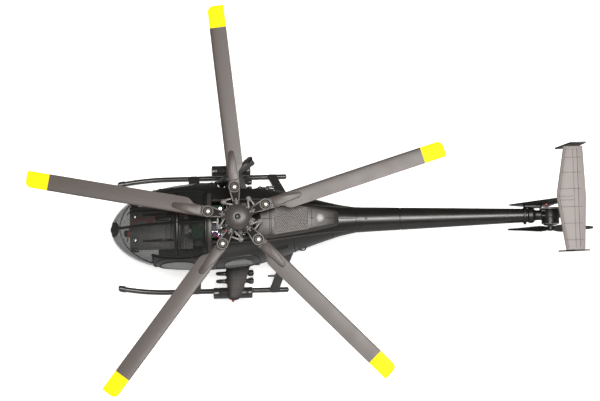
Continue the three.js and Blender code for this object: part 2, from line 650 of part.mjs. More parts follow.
function buildUndercarriage() {
  const footZ = 2 * SKID.radius + GAP;
  const skid = skidSolid();
  const front = legSolid([-38.7, SKID.y - 0.2, footZ, 7.6], [-33.6, 12, 36, 9]);
  const rear = legSolid([17.8, SKID.y - 0.2, footZ, 6.8], [34, 9, 44, 7.4]);
  const wing = wingSolid();
  const pod = join(
    bar('x', POD.radius, POD.x0, POD.x1, [POD.y, POD.z]),
    box(-13, -5, POD.y - 0.9, POD.y + 0.9, POD.z, WING.z0 - GAP),
  );
  const rack = join(box(-13, -4, 28.4, 36.4, 19.4, WING.z0 - GAP), missile(29.7), missile(35.1));
  [['port', true], ['starboard', false]].forEach(([side, mirrored]) => {
    const set = (shape) => (mirrored ? shape.mirror([0, 1, 0]) : shape);
    place(`skid_${side}`, set(skid), 'black');
    place(`leg_front_${side}`, set(front), 'black');
    place(`leg_rear_${side}`, set(rear), 'black');
    place(`stub_wing_${side}`, set(wing), 'shell');
    place(`rocket_pod_${side}`, set(pod), 'black');
    place(`missile_rack_${side}`, set(rack), 'black');
  });
}

// ---------------------------------------------------------------- assembly

buildCabin();
buildDoors();
buildFairing();
buildFrame();
buildElectronics();
buildServoArms();
buildDrive();
buildSwashplate();
buildHub();
buildBlades();
buildBoom();
buildTailDrive();
buildTailSurfaces();
buildUndercarriage();

model.updateMatrixWorld(true);
const bounds = new THREE.Box3().setFromObject(model, true);
const middle = bounds.getCenter(new THREE.Vector3());
model.position.set(-middle.x, -middle.y, -bounds.min.z);

export default model;
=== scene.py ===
"""A remote control helicopter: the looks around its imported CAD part.

Sizes are in millimetres with the main rotor's axis at x = 0, y = 0 and heights above the ground,
as in the CAD source. piece() puts them into the row frame, in metres.
"""

import math

import bmesh
import bpy
from mathutils import Matrix, Vector


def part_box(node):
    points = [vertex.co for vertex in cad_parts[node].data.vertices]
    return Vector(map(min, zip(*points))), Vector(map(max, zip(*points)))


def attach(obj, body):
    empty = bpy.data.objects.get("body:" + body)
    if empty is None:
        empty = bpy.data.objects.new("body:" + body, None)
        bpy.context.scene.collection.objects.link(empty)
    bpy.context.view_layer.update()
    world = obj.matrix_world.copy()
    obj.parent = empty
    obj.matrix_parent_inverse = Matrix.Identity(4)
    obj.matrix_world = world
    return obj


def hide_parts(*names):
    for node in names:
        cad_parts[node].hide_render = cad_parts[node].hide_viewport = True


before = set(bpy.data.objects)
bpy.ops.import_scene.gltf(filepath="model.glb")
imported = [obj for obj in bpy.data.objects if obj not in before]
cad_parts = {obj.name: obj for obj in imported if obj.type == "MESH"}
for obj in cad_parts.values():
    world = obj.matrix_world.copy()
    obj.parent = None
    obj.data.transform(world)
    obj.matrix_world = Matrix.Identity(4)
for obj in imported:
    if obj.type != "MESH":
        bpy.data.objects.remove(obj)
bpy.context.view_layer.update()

MM = 0.001
shaft_low, shaft_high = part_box("main_shaft")
HUB = Vector(((shaft_low.x + shaft_high.x) / 2, (shaft_low.y + shaft_high.y) / 2, 0))
TO_FRAME = Matrix.Translation(HUB) @ Matrix.Scale(MM, 4)


def at(x, y, z):
    """A point given from the rotor axis in millimetres, in the row frame."""
    return TO_FRAME @ Vector((x, y, z))


# ---------------------------------------------------------------- materials


COAT_ROUGHNESS = 0.12
GRAIN_SCALE = 1800.0
GRAIN_DEPTH = 0.0002


def add(tree, kind, feeds=(), **values):
    """A shader node with values on its sockets, and outputs of other nodes fed into some of them."""
    made = tree.nodes.new("ShaderNode" + kind)
    for socket, value in values.items():
        made.inputs[socket.replace("_", " ")].default_value = value
    for socket, output in feeds:
        tree.links.new(output, made.inputs[socket])
    return made


def finish(name, colour, rough, metal=0.0, vary=0.12, grain=260.0, bump=0.05, coat=0.0, alpha=None,
        specular=0.5):
    """A painted, moulded or metal surface: blotches in its colour, uneven gloss and a fine grain."""
    material = bpy.data.materials.new(name)
    material.use_nodes = True
    tree = material.node_tree
    shader = tree.nodes["Principled BSDF"]
    for socket, value in (("Metallic", metal), ("Specular IOR Level", specular), ("Coat Weight", coat),
            ("Coat Roughness", COAT_ROUGHNESS)):
        shader.inputs[socket].default_value = value
    place = add(tree, "TexCoord").outputs["Object"]
    blotch = add(tree, "TexNoise", [("Vector", place)], Scale=grain, Detail=4).outputs["Fac"]
    ramp = add(tree, "ValToRGB", [("Fac", blotch)])
    for stop, position, share in zip(ramp.color_ramp.elements, (0.3, 0.7), (1 - vary, 1 + vary)):
        stop.position = position
        stop.color = (*[min(1, c * share) for c in colour], 1)
    gloss = add(tree, "MapRange", [("Value", blotch)], To_Min=rough * 0.85, To_Max=min(1, rough * 1.15))
    fine = add(tree, "TexNoise", [("Vector", place)], Scale=GRAIN_SCALE, Detail=2)
    raised = add(tree, "Bump", [("Height", fine.outputs["Fac"])], Strength=bump, Distance=GRAIN_DEPTH)
    feeds = [(ramp, "Color", "Base Color"), (gloss, "Result", "Roughness"), (raised, "Normal", "Normal")]
    if alpha is not None:
        edge = add(tree, "LayerWeight", Blend=0.35)
        clear = add(tree, "MapRange", [("Value", edge.outputs["Facing"])], To_Min=alpha[0], To_Max=alpha[1])
        feeds.append((clear, "Result", "Alpha"))
    for source, output, socket in feeds:
        tree.links.new(source.outputs[output], shader.inputs[socket])
    return material


SHELL = finish("shell_paint", (0.012, 0.0112, 0.010), 0.33, grain=90, bump=0.01)
BLACK = finish("black_moulding", (0.007, 0.007, 0.0065), 0.42)
# Near-black for real panel joints, and also painted shade: the outlines round the blade ribs, the hole in the
# hub cap and the sunk pod cores.
SEAM_AND_SHADE = finish("seam_shadow", (0.003, 0.003, 0.003), 0.8)
GEAR_BLACK = finish("undercarriage_black", (0.030, 0.029, 0.028), 0.32, coat=0.2)
BLADE = finish("blade_plastic", (0.066, 0.053, 0.046), 0.42, vary=0.05, grain=120, bump=0.06)
TIP = finish("blade_tip_yellow", (0.98, 0.76, 0.0), 0.55, vary=0.02, grain=120, bump=0.06, specular=0.15)
HEAD = finish("head_plastic", (0.058, 0.052, 0.048), 0.40, vary=0.08, bump=0.08)
# The grip pockets' floors: the head plastic painted darker, as painted shade in the recess.
POCKET_SHADE = finish("head_recess_painted_shade", (0.014, 0.013, 0.012), 0.7, specular=0.15)
RIVET = finish("rivet_grey", (0.02, 0.018, 0.017), 0.6, specular=0.1)
WING_GREY = finish("wing_paint", (0.036, 0.032, 0.029), 0.40, vary=0.08, grain=90)
STORE = finish("store_paint", (0.030, 0.027, 0.025), 0.5, specular=0.3)
LINK = finish("link_plastic", (0.17, 0.163, 0.156), 0.38)
MESH = finish("screen_wire", (0.19, 0.175, 0.165), 0.42)
MESH_BACK = finish("screen_backing", (0.03, 0.028, 0.026), 0.6)
PALE = finish("stabilizer_paint", (0.20, 0.179, 0.170), 0.46, vary=0.05, grain=90)
LENS = finish("lamp_lens", (0.42, 0.42, 0.41), 0.5, specular=0.3)
RED_LENS = finish("red_lamp_lens", (0.45, 0.03, 0.02), 0.15, coat=0.6)
STEEL = finish("screw_steel", (0.34, 0.32, 0.28), 0.42, metal=1.0)
MOTOR = finish("motor_steel", (0.45, 0.45, 0.45), 0.26, metal=1.0, grain=500)
BRASS = finish("pinion_brass", (0.70, 0.52, 0.25), 0.28, metal=1.0)
WHITE_GEAR = finish("white_nylon", (0.74, 0.71, 0.64), 0.42)
BOARD = finish("circuit_board", (0.003, 0.030, 0.013), 0.5, specular=0.2)
CHIP = finish("chip_epoxy", (0.02, 0.02, 0.022), 0.5)
SOLDER = finish("solder", (0.7, 0.7, 0.7), 0.3, metal=1.0)
WRAP = finish("battery_wrap", (0.03, 0.045, 0.12), 0.3, coat=0.3)
DECK = finish("deck_plastic", (0.13, 0.13, 0.125), 0.45)
RED_WIRE = finish("red_wire", (0.50, 0.03, 0.02), 0.4)
BLUE_WIRE = finish("blue_wire", (0.03, 0.06, 0.35), 0.4)
BLACK_WIRE = finish("black_wire", (0.015, 0.015, 0.015), 0.45)
CLEAR = finish("canopy_clear", (0.035, 0.037, 0.034), 0.06, vary=0.03, bump=0.0, alpha=(0.26, 0.55))
SIDE_CLEAR = finish("side_window_clear", (0.42, 0.43, 0.425), 0.1, vary=0.03, bump=0.0, alpha=(0.25, 0.85))


# ---------------------------------------------------------------- mesh helpers, in millimetres


def merge(*meshes):
    """Several meshes as one. Faces keep their material numbers."""
    whole = bmesh.new()
    for part in meshes:
        data = bpy.data.meshes.new("part")
        part.to_mesh(data)
        part.free()
        whole.from_mesh(data)
        bpy.data.meshes.remove(data)
    return whole


def spin(degrees, axis="Z"):
    return Matrix.Rotation(math.radians(degrees), 4, axis)


def shift(*place):
    return Matrix.Translation(place)


def polar(radius, degrees):
    a = math.radians(degrees)
    return radius * math.cos(a), radius * math.sin(a)


def span(side, near, far):
    """Two distances from the middle plane, on one side of it, lowest first."""
    return sorted((side * near, side * far))


def folded(half, middle=()):
    """Half an outline, then any points on its axis, then the other half."""
    return [*half, *middle, *[(x, -y) for x, y in reversed(half)]]


def moved(part, matrix):
    bmesh.ops.transform(part, matrix=matrix, verts=part.verts)
    return part


def mirrored(part):
    """The same mesh on the other side of the helicopter."""
    moved(part, Matrix.Scale(-1, 4, (0, 1, 0)))
    bmesh.ops.reverse_faces(part, faces=part.faces)
    return part


def paint(part, number, test=lambda middle: True):
    """Gives a material number to every face, or to those whose middle passes a test."""
    for face in part.faces:
        if test(face.calc_center_median()):
            face.material_index = number
    return part


SHARP = math.radians(28)


def soften(part, width, segments=2):
    """Bevels every sharp edge."""
    edges = [e for e in part.edges if e.is_manifold and e.calc_face_angle(0) > SHARP]
    bmesh.ops.bevel(part, geom=edges, offset=width, segments=segments, profile=0.5, affect="EDGES",
            clamp_overlap=True)
    return part


def loft(rings, closed=False):
    """A skin through rings of points. Its two ends are capped, unless the row of rings closes."""
    part = bmesh.new()
    rows = [[part.verts.new(p) for p in ring] for ring in rings]
    count = len(rings[0])
    pairs = list(zip(rows, rows[1:])) + ([(rows[-1], rows[0])] if closed else [])
    for a, b in pairs:
        for i in range(count):
            j = (i + 1) % count
            part.faces.new((a[i], a[j], b[j], b[i]))
    if not closed:
        part.faces.new(rows[0])
        part.faces.new(rows[-1])
    bmesh.ops.remove_doubles(part, verts=part.verts, dist=1e-4)
    bmesh.ops.recalc_face_normals(part, faces=part.faces)
    return part


AXES = {
    "x": lambda r, c, s, h: (h, r * c, r * s),
    "y": lambda r, c, s, h: (r * s, h, r * c),
    "z": lambda r, c, s, h: (r * c, r * s, h),
}


def turned(profile, axis="z", centre=(0, 0, 0), sides=40, closed=False):
    """A profile of (radius, place along the axis) turned round an axis through centre."""
    rings = []
    for r, h in profile:
        ring = []
        for i in range(sides):
            a = 2 * math.pi * i / sides
            p = AXES[axis](max(r, 0), math.cos(a), math.sin(a), h)
            ring.append(tuple(p[k] + centre[k] for k in range(3)))
        rings.append(ring)
    return loft(rings, closed)


def rod(axis, radius, low, high, centre=(0, 0, 0), sides=24, edge=0.25):
    """A round bar with softened ends."""
    e = min(edge, radius * 0.5, (high - low) * 0.3)
    profile = [(0, low), (radius - e, low), (radius, low + e), (radius, high - e), (radius - e, high),
            (0, high)]
    return turned(profile, axis, centre, sides)


LIFT = {
    "xy": lambda a, b, h: (a, b, h),
    "xz": lambda a, b, h: (a, h, b),
    "yz": lambda a, b, h: (h, a, b),
}


def prism(points, low, high, plane="xy", edge=0.0):
    """An outline drawn in a plane, with thickness from low to high, and softened edges."""
    lift = LIFT[plane]
    part = loft([[lift(a, b, low) for a, b in points], [lift(a, b, high) for a, b in points]])
    return soften(part, edge) if edge else part


def block(x0, x1, y0, y1, z0, z1, edge=0.3):
    return prism([(x0, y0), (x1, y0), (x1, y1), (x0, y1)], z0, z1, "xy", edge)


def rounded(a0, a1, b0, b1, radii, steps=6):
    """A rectangle's outline with its own radius at each corner: low-low, high-low, high-high, low-high."""
    corners = [(a0, b0, 1, 1, 180), (a1, b0, -1, 1, 270), (a1, b1, -1, -1, 0), (a0, b1, 1, -1, 90)]
    points = []
    for (a, b, da, db, start), radius in zip(corners, radii):
        for i in range(steps + 1):
            angle = math.radians(start + 90 * i / steps)
            points.append((a + da * radius + radius * math.cos(angle), b + db * radius
                    + radius * math.sin(angle)))
    return points


def tube(path, radius, sides=8):
    """A round tube along points, for wires, seams and thin bars."""
    points = [Vector(p) for p in path]
    rings = []
    side = None
    for i, p in enumerate(points):
        ahead = (points[min(i + 1, len(points) - 1)] - points[max(i - 1, 0)]).normalized()
        if side is None:
            side = ahead.orthogonal().normalized()
        side = (side - ahead * side.dot(ahead)).normalized()
        up = ahead.cross(side)
        rings.append([p + (side * math.cos(2 * math.pi * k / sides)
                + up * math.sin(2 * math.pi * k / sides)) * radius for k in range(sides)])
    return loft(rings)


PATH_STEPS = 6


def smooth_path(points):
    """A smooth curve through points."""
    p = [Vector(q) for q in points]
    path = []
    for i in range(len(p) - 1):
        a, b, c, d = p[max(i - 1, 0)], p[i], p[i + 1], p[min(i + 2, len(p) - 1)]
        for k in range(PATH_STEPS):
            t = k / PATH_STEPS
            path.append(0.5 * (2 * b + (c - a) * t + (2 * a - 5 * b + 4 * c - d) * t * t
                    + (3 * b - a - 3 * c + d) * t ** 3))
    return path + [p[-1]]


def carve(part, tool, operation="DIFFERENCE"):
    """part with tool taken away from it, or what both share."""
    objects = []
    for mesh in (part, tool):
        data = bpy.data.meshes.new("carving")
        mesh.to_mesh(data)
        mesh.free()
        objects.append(bpy.data.objects.new("carving", data))
        bpy.context.scene.collection.objects.link(objects[-1])
    modifier = objects[0].modifiers.new("carve", "BOOLEAN")
    modifier.object = objects[1]
    modifier.operation = operation
    modifier.solver = "EXACT"
    bpy.context.view_layer.update()
    graph = bpy.context.evaluated_depsgraph_get()
    made = bpy.data.meshes.new_from_object(objects[0].evaluated_get(graph))
    result = bmesh.new()
    result.from_mesh(made)
    bpy.data.meshes.remove(made)
    for o in objects:
        data = o.data
        bpy.data.objects.remove(o)
        bpy.data.meshes.remove(data)
    return result


def piece(name, part, finishes, body="airframe", replaces=(), angle=32):
    """Puts a mesh into the row frame as a piece of the helicopter that rides on a CAD body."""
    bmesh.ops.transform(part, matrix=TO_FRAME, verts=part.verts)
    data = bpy.data.meshes.new(name)
    part.to_mesh(data)
    part.free()
    for m in finishes if isinstance(finishes, (list, tuple)) else [finishes]:
        data.materials.append(m)
    data.shade_smooth()
    data.set_sharp_from_angle(angle=math.radians(angle))
    obj = bpy.data.objects.new(name, data)
    bpy.context.scene.collection.objects.link(obj)
    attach(obj, body)
    if replaces:
        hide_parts(*([replaces] if isinstance(replaces, str) else replaces))
    return obj


def rivets(places, radius, height):
    """Flat domes at (point, direction out of the surface)."""
    parts = []
    for point, out in places:
        dome = turned([(radius * 1.05, -0.2), (radius, height * 0.4), (radius * 0.55, height), (0, height)],
                sides=7)
        turn = Vector(out).to_track_quat("Z", "Y").to_matrix().to_4x4()
        parts.append(moved(dome, shift(*point) @ turn))
    return merge(*parts)


def screw(centre, radius, height):
    """A pan head with a hexagon socket, standing on centre."""
    profile = [(radius, 0), (radius, 0.45 * height), (0.82 * radius, 0.85 * height), (0.55 * radius, height),
            (0.42 * radius, height), (0.42 * radius, 0.35 * height), (0, 0.35 * height)]
    return turned(profile, "z", centre, 18)


# ---------------------------------------------------------------- cabin shape

NOSE_X = -92.6
BODY_REAR_X = 78.0
SKIN = 1.2
GAP = 0.3


def smooth(points):
    """A smooth curve through points, read as a function of the first coordinate."""
    def slope(i):
        a, b = points[max(i - 1, 0)], points[min(i + 1, len(points) - 1)]
        return (b[1] - a[1]) / (b[0] - a[0])

    def value(x):
        after = next((i for i, p in enumerate(points) if p[0] > x), None)
        i = len(points) - 2 if after is None else max(after - 1, 0)
        (x0, y0), (x1, y1) = points[i], points[i + 1]
        t = min(1, max(0, (x - x0) / (x1 - x0)))
        s = 1 - t
        return (y0 * (1 + 2 * t) * s * s + y1 * (1 + 2 * s) * t * t
                + (x1 - x0) * (slope(i) * t * s * s - slope(i + 1) * s * t * t))
    return value


def straight(points):
    """Straight lines through points, read as a function of the first coordinate."""
    def value(x):
        (x0, y0), (x1, y1) = next((pair for pair in zip(points, points[1:]) if x <= pair[1][0]), points[-2:])
        return y0 + (y1 - y0) * (x - x0) / (x1 - x0)
    return value


def nose_curve(start_x, tip, full, power, root, rear):
    """A rounded nose ahead of start_x that meets a smooth curve behind it."""
    rear_curve = smooth(rear)

    def value(x):
        if x >= start_x:
            return rear_curve(x)
        t = min(1, (start_x - x) / (start_x - NOSE_X))
        return tip + (full - tip) * (1 - t ** power) ** (1 / root)
    return value


half_width = nose_curve(-28, 0, 29.9, 2.3, 2, [(-28, 29.9), (-8, 29.2), (12, 26.4), (41, 18.1), (66, 10.9),
        (BODY_REAR_X, 8.6)])
top_z = nose_curve(-20, 47, 87, 1.8, 1.2, [(-20, 87), (0, 87), (20, 86.2), (40, 83.6), (60, 80.7),
        (BODY_REAR_X, 79.1)])
bottom_z = nose_curve(-42.6, 47, 22, 2, 1.8, [(-42.6, 22), (-10, 21.6), (6, 22.6), (16, 26), (30, 33.5),
        (60, 54.5), (BODY_REAR_X, 61.9)])


def squareness(x):
    """The power of the cabin's oval section: 2 is an ellipse, more is squarer."""
    return 2 + 0.35 * math.sin(math.pi * (x - NOSE_X) / (BODY_REAR_X - NOSE_X))


def side_y(x, z, proud=0.0):
    """How far out the cabin's skin is at a place along it and a height."""
    p = squareness(x)
    middle, half = (top_z(x) + bottom_z(x)) / 2, (top_z(x) - bottom_z(x)) / 2 + proud
    share = min(1, abs(z - middle) / half)
    return (half_width(x) + proud) * (1 - share ** p) ** (1 / p)


def roof_z(x, y, proud=0.0):
    """The height of the cabin's roof at a place on plan."""
    p = squareness(x)
    middle, half = (top_z(x) + bottom_z(x)) / 2, (top_z(x) - bottom_z(x)) / 2 + proud
    share = min(1, abs(y) / (half_width(x) + proud))
    return middle + half * (1 - share ** p) ** (1 / p)


FORM_SIDES = 72


def body_form(inset):
    """The cabin's outside, drawn in by an inset."""
    nose = [0.1, 0.3, 0.7, 1.2, 2, 3, 4.2, 6, 8, 10.5, 13, 16, 19.5, 23, 27, 32, 37, 42, 48, 54, 60]
    stations = [NOSE_X + d for d in nose] + [-28 + 4 * i for i in range(27)] + [BODY_REAR_X]
    rings = []
    for x in stations:
        if half_width(x) <= inset + 0.8 or top_z(x) - bottom_z(x) <= 2 * inset + 1:
            continue
        p = squareness(x)
        middle, half = (top_z(x) + bottom_z(x)) / 2, (top_z(x) - bottom_z(x)) / 2 - inset
        along = x + 1 if inset > 0 and x == BODY_REAR_X else x
        ring = []
        for i in range(FORM_SIDES):
            a = 2 * math.pi * (i + 0.5) / FORM_SIDES
            c, s = math.cos(a), math.sin(a)
            ring.append((along, math.copysign(abs(c) ** (2 / p), c) * (half_width(x) - inset), middle
                    + math.copysign(abs(s) ** (2 / p), s) * half))
        rings.append(ring)
    return loft(rings)


def skin(outer=0.0, inner=SKIN):
    """The cabin's moulded skin, between two depths."""
    return carve(body_form(outer), body_form(inner))


def canopy_region(gap):
    """A cutter for the clear nose and roof, grown by a gap."""
    front, rear = -62 - gap, -23 - gap
    edge = [(NOSE_X - 10, 0), (front, 0), (front, 66 + gap), (rear, 79.5 + gap), (rear, 120),
            (NOSE_X - 10, 120)]
    return prism(edge, -60, 60, "xz")


DOOR = (-18, 12, 40, 76)
DOOR_OPEN = 42.0
DOOR_RADII = (3, 3, 7, 6)
DOOR_WINDOW = (-12.5, 7.0, 53, 72)
WINDOW_RADII = (2.5, 2.5, 6, 6)
FRONT_WINDOW = [(-57, 44), (-31, 43), (-30, 60), (-31, 68.5), (-36, 71), (-46, 68.5), (-55, 62), (-57.5, 55)]


def sided(outline, side):
    """A cutter for one side of the cabin, drawn on the side view."""
    return prism(outline, *span(side, 8, 60), "xz")


def door_region(side, gap):
    """A cutter for a door, drawn in by a gap."""
    x0, x1, z0, z1 = DOOR
    return sided(rounded(x0 + gap, x1 - gap, z0 + gap, z1 - gap, DOOR_RADII), side)


def softened(outline, gap=0.0):
    """The outline with its corners cut round, and drawn in by a gap towards its middle."""
    n = len(outline)
    middle = (sum(p[0] for p in outline) / n, sum(p[1] for p in outline) / n)
    points = []
    for i in range(n):
        a, b, c = outline[i - 1], outline[i], outline[(i + 1) % n]
        for t in (0.0, 0.25, 0.5, 0.75, 1.0):
            p = [(a[k] + b[k]) / 2 * (1 - t) ** 2 + 2 * t * (1 - t) * b[k] + (b[k] + c[k]) / 2 * t * t
                    for k in (0, 1)]
            points.append(tuple(p))
    points = [p for i, p in enumerate(points) if math.dist(p, points[i - 1]) > 1e-3]
    return [(middle[0] + (p[0] - middle[0]) * (1 - gap / 10), middle[1] + (p[1] - middle[1]) * (1 - gap / 10))
            for p in points]


def trimmed(outline, radius):
    """The outline with a small round at each corner."""
    n = len(outline)
    points = []
    for i in range(n):
        before, corner, after = (Vector(outline[k % n]) for k in (i - 1, i, i + 1))
        start = corner + (before - corner).normalized() * radius
        end = corner + (after - corner).normalized() * radius
        for t in (0, 0.25, 0.5, 0.75, 1):
            points.append(tuple(start * (1 - t) ** 2 + corner * 2 * t * (1 - t) + end * t * t))
    return points


def mast_opening():
    """A cutter for the hole in the roof round the mast, rounded behind."""
    arc = [(1 + x, y) for x, y in (polar(13, a) for a in range(-90, 91, 6))]
    return prism(arc + [(-19, 13), (-19, -13)], 72, 120)


def cabin():
    shell = carve(skin(), canopy_region(-GAP / 2))
    tools = [door_region(1, 0), door_region(-1, 0), mast_opening()]
    tools += [sided(softened(FRONT_WINDOW), side) for side in (1, -1)]
    for tool in tools:
        shell = carve(shell, tool)
    for name, side in (("port", -1), ("starboard", 1)):
        half = carve(shell.copy(), block(-120, 120, *span(side, GAP / 2, 80), 0, 120, edge=0), "INTERSECT")
        piece(f"cabin_shell_{name}", half, SHELL, replaces=f"fuselage_{name}", angle=24)
        pane = carve(skin(0.3, 0.9), sided(softened(FRONT_WINDOW, 0.1), side), "INTERSECT")
        piece(f"front_window_{name}", pane, SIDE_CLEAR, angle=24)
    shell.free()

    cap_region = rod("x", 5.6, NOSE_X - 5, -84, (0, 0, 49), 48, 0)
    glass = carve(carve(skin(), canopy_region(GAP / 2), "INTERSECT"), cap_region)
    piece("canopy_glass", glass, CLEAR, replaces="canopy", angle=24)
    cap = carve(skin(-0.1), rod("x", 5.3, NOSE_X - 5, -84.3, (0, 0, 49), 48, 0), "INTERSECT")
    cap = carve(cap, rod("x", 1.7, NOSE_X - 5, -80, (0, 0, 47), 24, 0))
    piece("nose_cap_moulding", cap, BLACK, replaces="nose_cap", angle=24)
    lamp = turned([(0, -90.2), (1.3, -90.2), (1.35, -92.0), (1.1, -92.7), (0.6, -93.0), (0, -93.1)], "x",
            (0, 0, 47), 24)
    bezel = turned([(1.65, -91.2), (1.65, -92.6), (1.45, -92.8), (1.4, -91.2)], "x", (0, 0, 47), 24,
            closed=True)
    paint(bezel, 1)
    piece("nose_lamp_lens", merge(lamp, bezel), [LENS, BLACK], replaces="nose_lamp")


def canopy_frame():
    """The dark bars between the clear panes."""
    def on_side(x, z, side, proud=0.25):
        return (x, side * side_y(x, z, proud), z)

    def on_roof(x, y, proud=0.25):
        return (x, y, roof_z(x, y, proud))

    bars = [tube([on_roof(x, 0) for x in range(-88, -22, 3)], 1.0)]
    bars.append(tube([on_roof(-43 - 0.012 * y * y / 4, y) for y in range(-21, 22, 2)], 1.15))
    bars.append(tube([on_roof(-23.2, y) for y in range(-21, 22, 2)], 0.8))
    rim = [on_side(-62, z, -1) for z in (67, 63, 59.5)]
    sweep = [-64, -67, -70.5, -74, -77, -79.8, -82.2, -84.2, -85.6, -86.6, -87.2]
    port = [on_side(x, 58.5 - 2.5 * (i / len(sweep)), -1) for i, x in enumerate(sweep)]
    rim = rim + port
    rim += [(-87.55, 0, 56)] + [(x, -y, z) for x, y, z in reversed(rim)]
    bars.append(tube(rim, 0.42))
    for side in (-1, 1):
        edge = [on_side(x, 66 + (x + 62) * 13.5 / 39, side) for x in range(-62, -22, 3)]
        bars.append(tube(edge, 0.45))
        bars.append(tube([on_side(-62, z, side, 0.05) for z in range(30, 67, 3)], 0.4))
    piece("canopy_bars", merge(*bars), BLACK)

    panes = []
    for side in (-1, 1):
        outline = [(-41, 1.8), (-24.6, 1.8), (-24.6, 19.0), (-41, 18.0)]
        path = [on_roof(x, side * y, 0.12) for x, y in outline + outline[:1]]
        dense = []
        for a, b in zip(path, path[1:]):
            for k in range(5):
                x, y = (a[0] + (b[0] - a[0]) * k / 5, a[1] + (b[1] - a[1]) * k / 5)
                dense.append(on_roof(x, y, 0.12))
        panes.append(tube(dense + dense[:1], 0.25, 6))
    piece("roof_pane_seals", merge(*panes), BLACK)


def shell_lines():
    """Joints between the body's panels, and the raised rim beside the rotor deck, painted lighter grey than
    the shell as a painted highlight.
    """
    def roof_line(points, radius, proud=0.02):
        return tube([(x, y, roof_z(x, y, proud)) for x, y in points], radius, 6)

    def side_line(points, side, radius, proud=0.02):
        return tube([(x, side * side_y(x, z, proud), z) for x, z in points], radius, 6)

    lines, rims = [], []
    for side in (-1, 1):
        window = softened(FRONT_WINDOW, -0.6)
        lines.append(side_line(window + window[:1], side, 0.28))
        door = [(-61, 40), (-61, 56), (-57, 65), (-48, 70.5), (-36, 74.5), (-25, 76), (-22, 72), (-21.5, 50),
                (-22, 34)]
        lines.append(side_line([tuple(p)[:2] for p in smooth_path([(x, z, 0) for x, z in door])], side, 0.25))
        lines.append(side_line([(17, z) for z in range(36, 84, 3)], side, 0.22))
        lines.append(side_line([(36, z) for z in range(44, 84, 3)], side, 0.22))
        lines.append(side_line([(62, z) for z in range(60, 80, 2)], side, 0.22))
        slot = rounded(22.5, 31.5, 74.5, 76.4, (0.9,) * 4, 3)
        lines.append(side_line(slot + slot[:1], side, 0.4))
        # The raised rims are painted in the lighter wing grey rather than the shell's black: a painted
        # highlight along the deck's edges.
        deck = [(-19, 14.2), (-8, 14.4), (4, 14.4), (16, 14.2), (30, 12.6), (44, 10.7), (58, 9.0), (72, 8.0)]
        rims.append(roof_line([(x, side * y) for x, y in deck], 0.55))
    lines.append(roof_line([(x, 0) for x in range(68, 78, 2)], 0.2))
    piece("panel_joints", merge(*lines), SEAM_AND_SHADE)
    piece("deck_rims_painted_highlight", merge(*rims), WING_GREY)

    rings = []
    for k in range(27):
        y = -19.5 + 39 * k / 26
        front, rear = roof_z(-22.3, y, 0.35), roof_z(-19.5, y, 0.35)
        rings.append([(-22.3, y, front), (-19.5, y, rear), (-19.5, y, rear - 0.8), (-22.3, y, front - 0.8)])
    piece("roof_cross_strip", soften(loft(rings), 0.2), WING_GREY)


def hardware():
    """Small fittings on the cabin: a tie-down hook on each side, bumps on the roof and door hinges."""
    parts = []
    for side in (-1, 1):
        y = side * side_y(41, 66, 0.1)
        parts.append(tube(smooth_path([(38.6, y * 0.98, 66), (39.6, y + side * 1.1, 66),
                (42.6, y + side * 1.1, 66), (43.6, y * 0.93, 66)]), 0.45))
        for z in (38, 68):
            y = side * side_y(-19.6, z, 0.35)
            parts.append(rod("z", 0.5, z - 2.2, z + 2.2, (-19.8, y - side * 0.15, 0), 12, 0.2))
    for x, y, r in ((13, 23.4, 1.3), (17.5, 22.6, 1.6), (22.5, 21.4, 1.2)):
        z = roof_z(x, y)
        parts.append(turned([(r, z - 1.6), (r, z + 0.1), (r * 0.7, z + 0.6), (0, z + 0.8)], "z", (x, y, 0),
                14))
    piece("body_fittings", merge(*parts), BLACK)


def doors():
    """Each side door: its moulded panel, clear window, seal and handle."""
    for name, side in (("port", -1), ("starboard", 1)):
        panel = carve(skin(), door_region(side, GAP), "INTERSECT")
        panel = carve(panel, sided(rounded(*DOOR_WINDOW, WINDOW_RADII), side))
        x0, x1, z0, z1 = DOOR_WINDOW
        pane = carve(skin(0.25, 0.85), sided(rounded(x0 + 0.1, x1 - 0.1, z0 + 0.1, z1 - 0.1, WINDOW_RADII),
                side), "INTERSECT")
        seal = rounded(x0, x1, z0, z1, WINDOW_RADII, 8)
        seal = tube([(x, side * side_y(x, z, -0.05), z) for x, z in seal + seal[:1]], 0.35, 6)
        handle_y = side * side_y(9.5, 56, 0.5)
        handle = block(8.0, 11.0, handle_y - 0.4, handle_y + 0.4, 55.2, 57.0, 0.25)
        turn = Matrix.Identity(4)
        if side > 0:
            hinge = shift(DOOR[0], half_width(DOOR[0]), 0)
            turn = hinge @ spin(DOOR_OPEN) @ hinge.inverted()
        body = f"door_{name}_body"
        piece(f"door_panel_{name}", moved(panel, turn), SHELL, body, f"door_{name}", 24)
        piece(f"door_window_{name}", moved(pane, turn), SIDE_CLEAR, body, angle=24)
        piece(f"door_trim_{name}", moved(merge(seal, handle), turn), BLACK, body)


# ---------------------------------------------------------------- fairing behind the mast

fairing_half = smooth([(4, 12.8), (20, 12.6), (46, 8.9), (58, 6.6), (64.6, 5.2), (66.4, 4.2)])
fairing_top = smooth([(0, 91.3), (22, 91.7), (46, 89.4), (58, 86.7), (66.4, 83.6)])
FAIRING_EDGE = 1.5
FAIRING_REAR_X = 66.4
FAIRING_FRONT_RADIUS = 13.6
SCREEN_PITCH = 1.25
SCREEN_PLAN = [(23.5, -10.4), (46, -7.2), (46, 7.2), (23.5, 10.4)]


def fairing_height(x, y):
    """The height of the fairing's rounded top."""
    half = fairing_half(x)
    over = max(0, abs(y) - (half - FAIRING_EDGE)) / FAIRING_EDGE
    rear = max(0, x - 63.4) / 3.0
    rounding = FAIRING_EDGE * (1 - math.sqrt(max(0, 1 - over * over)))
    return fairing_top(x) - rounding - 1.6 * rear * rear - 0.012 * y * y


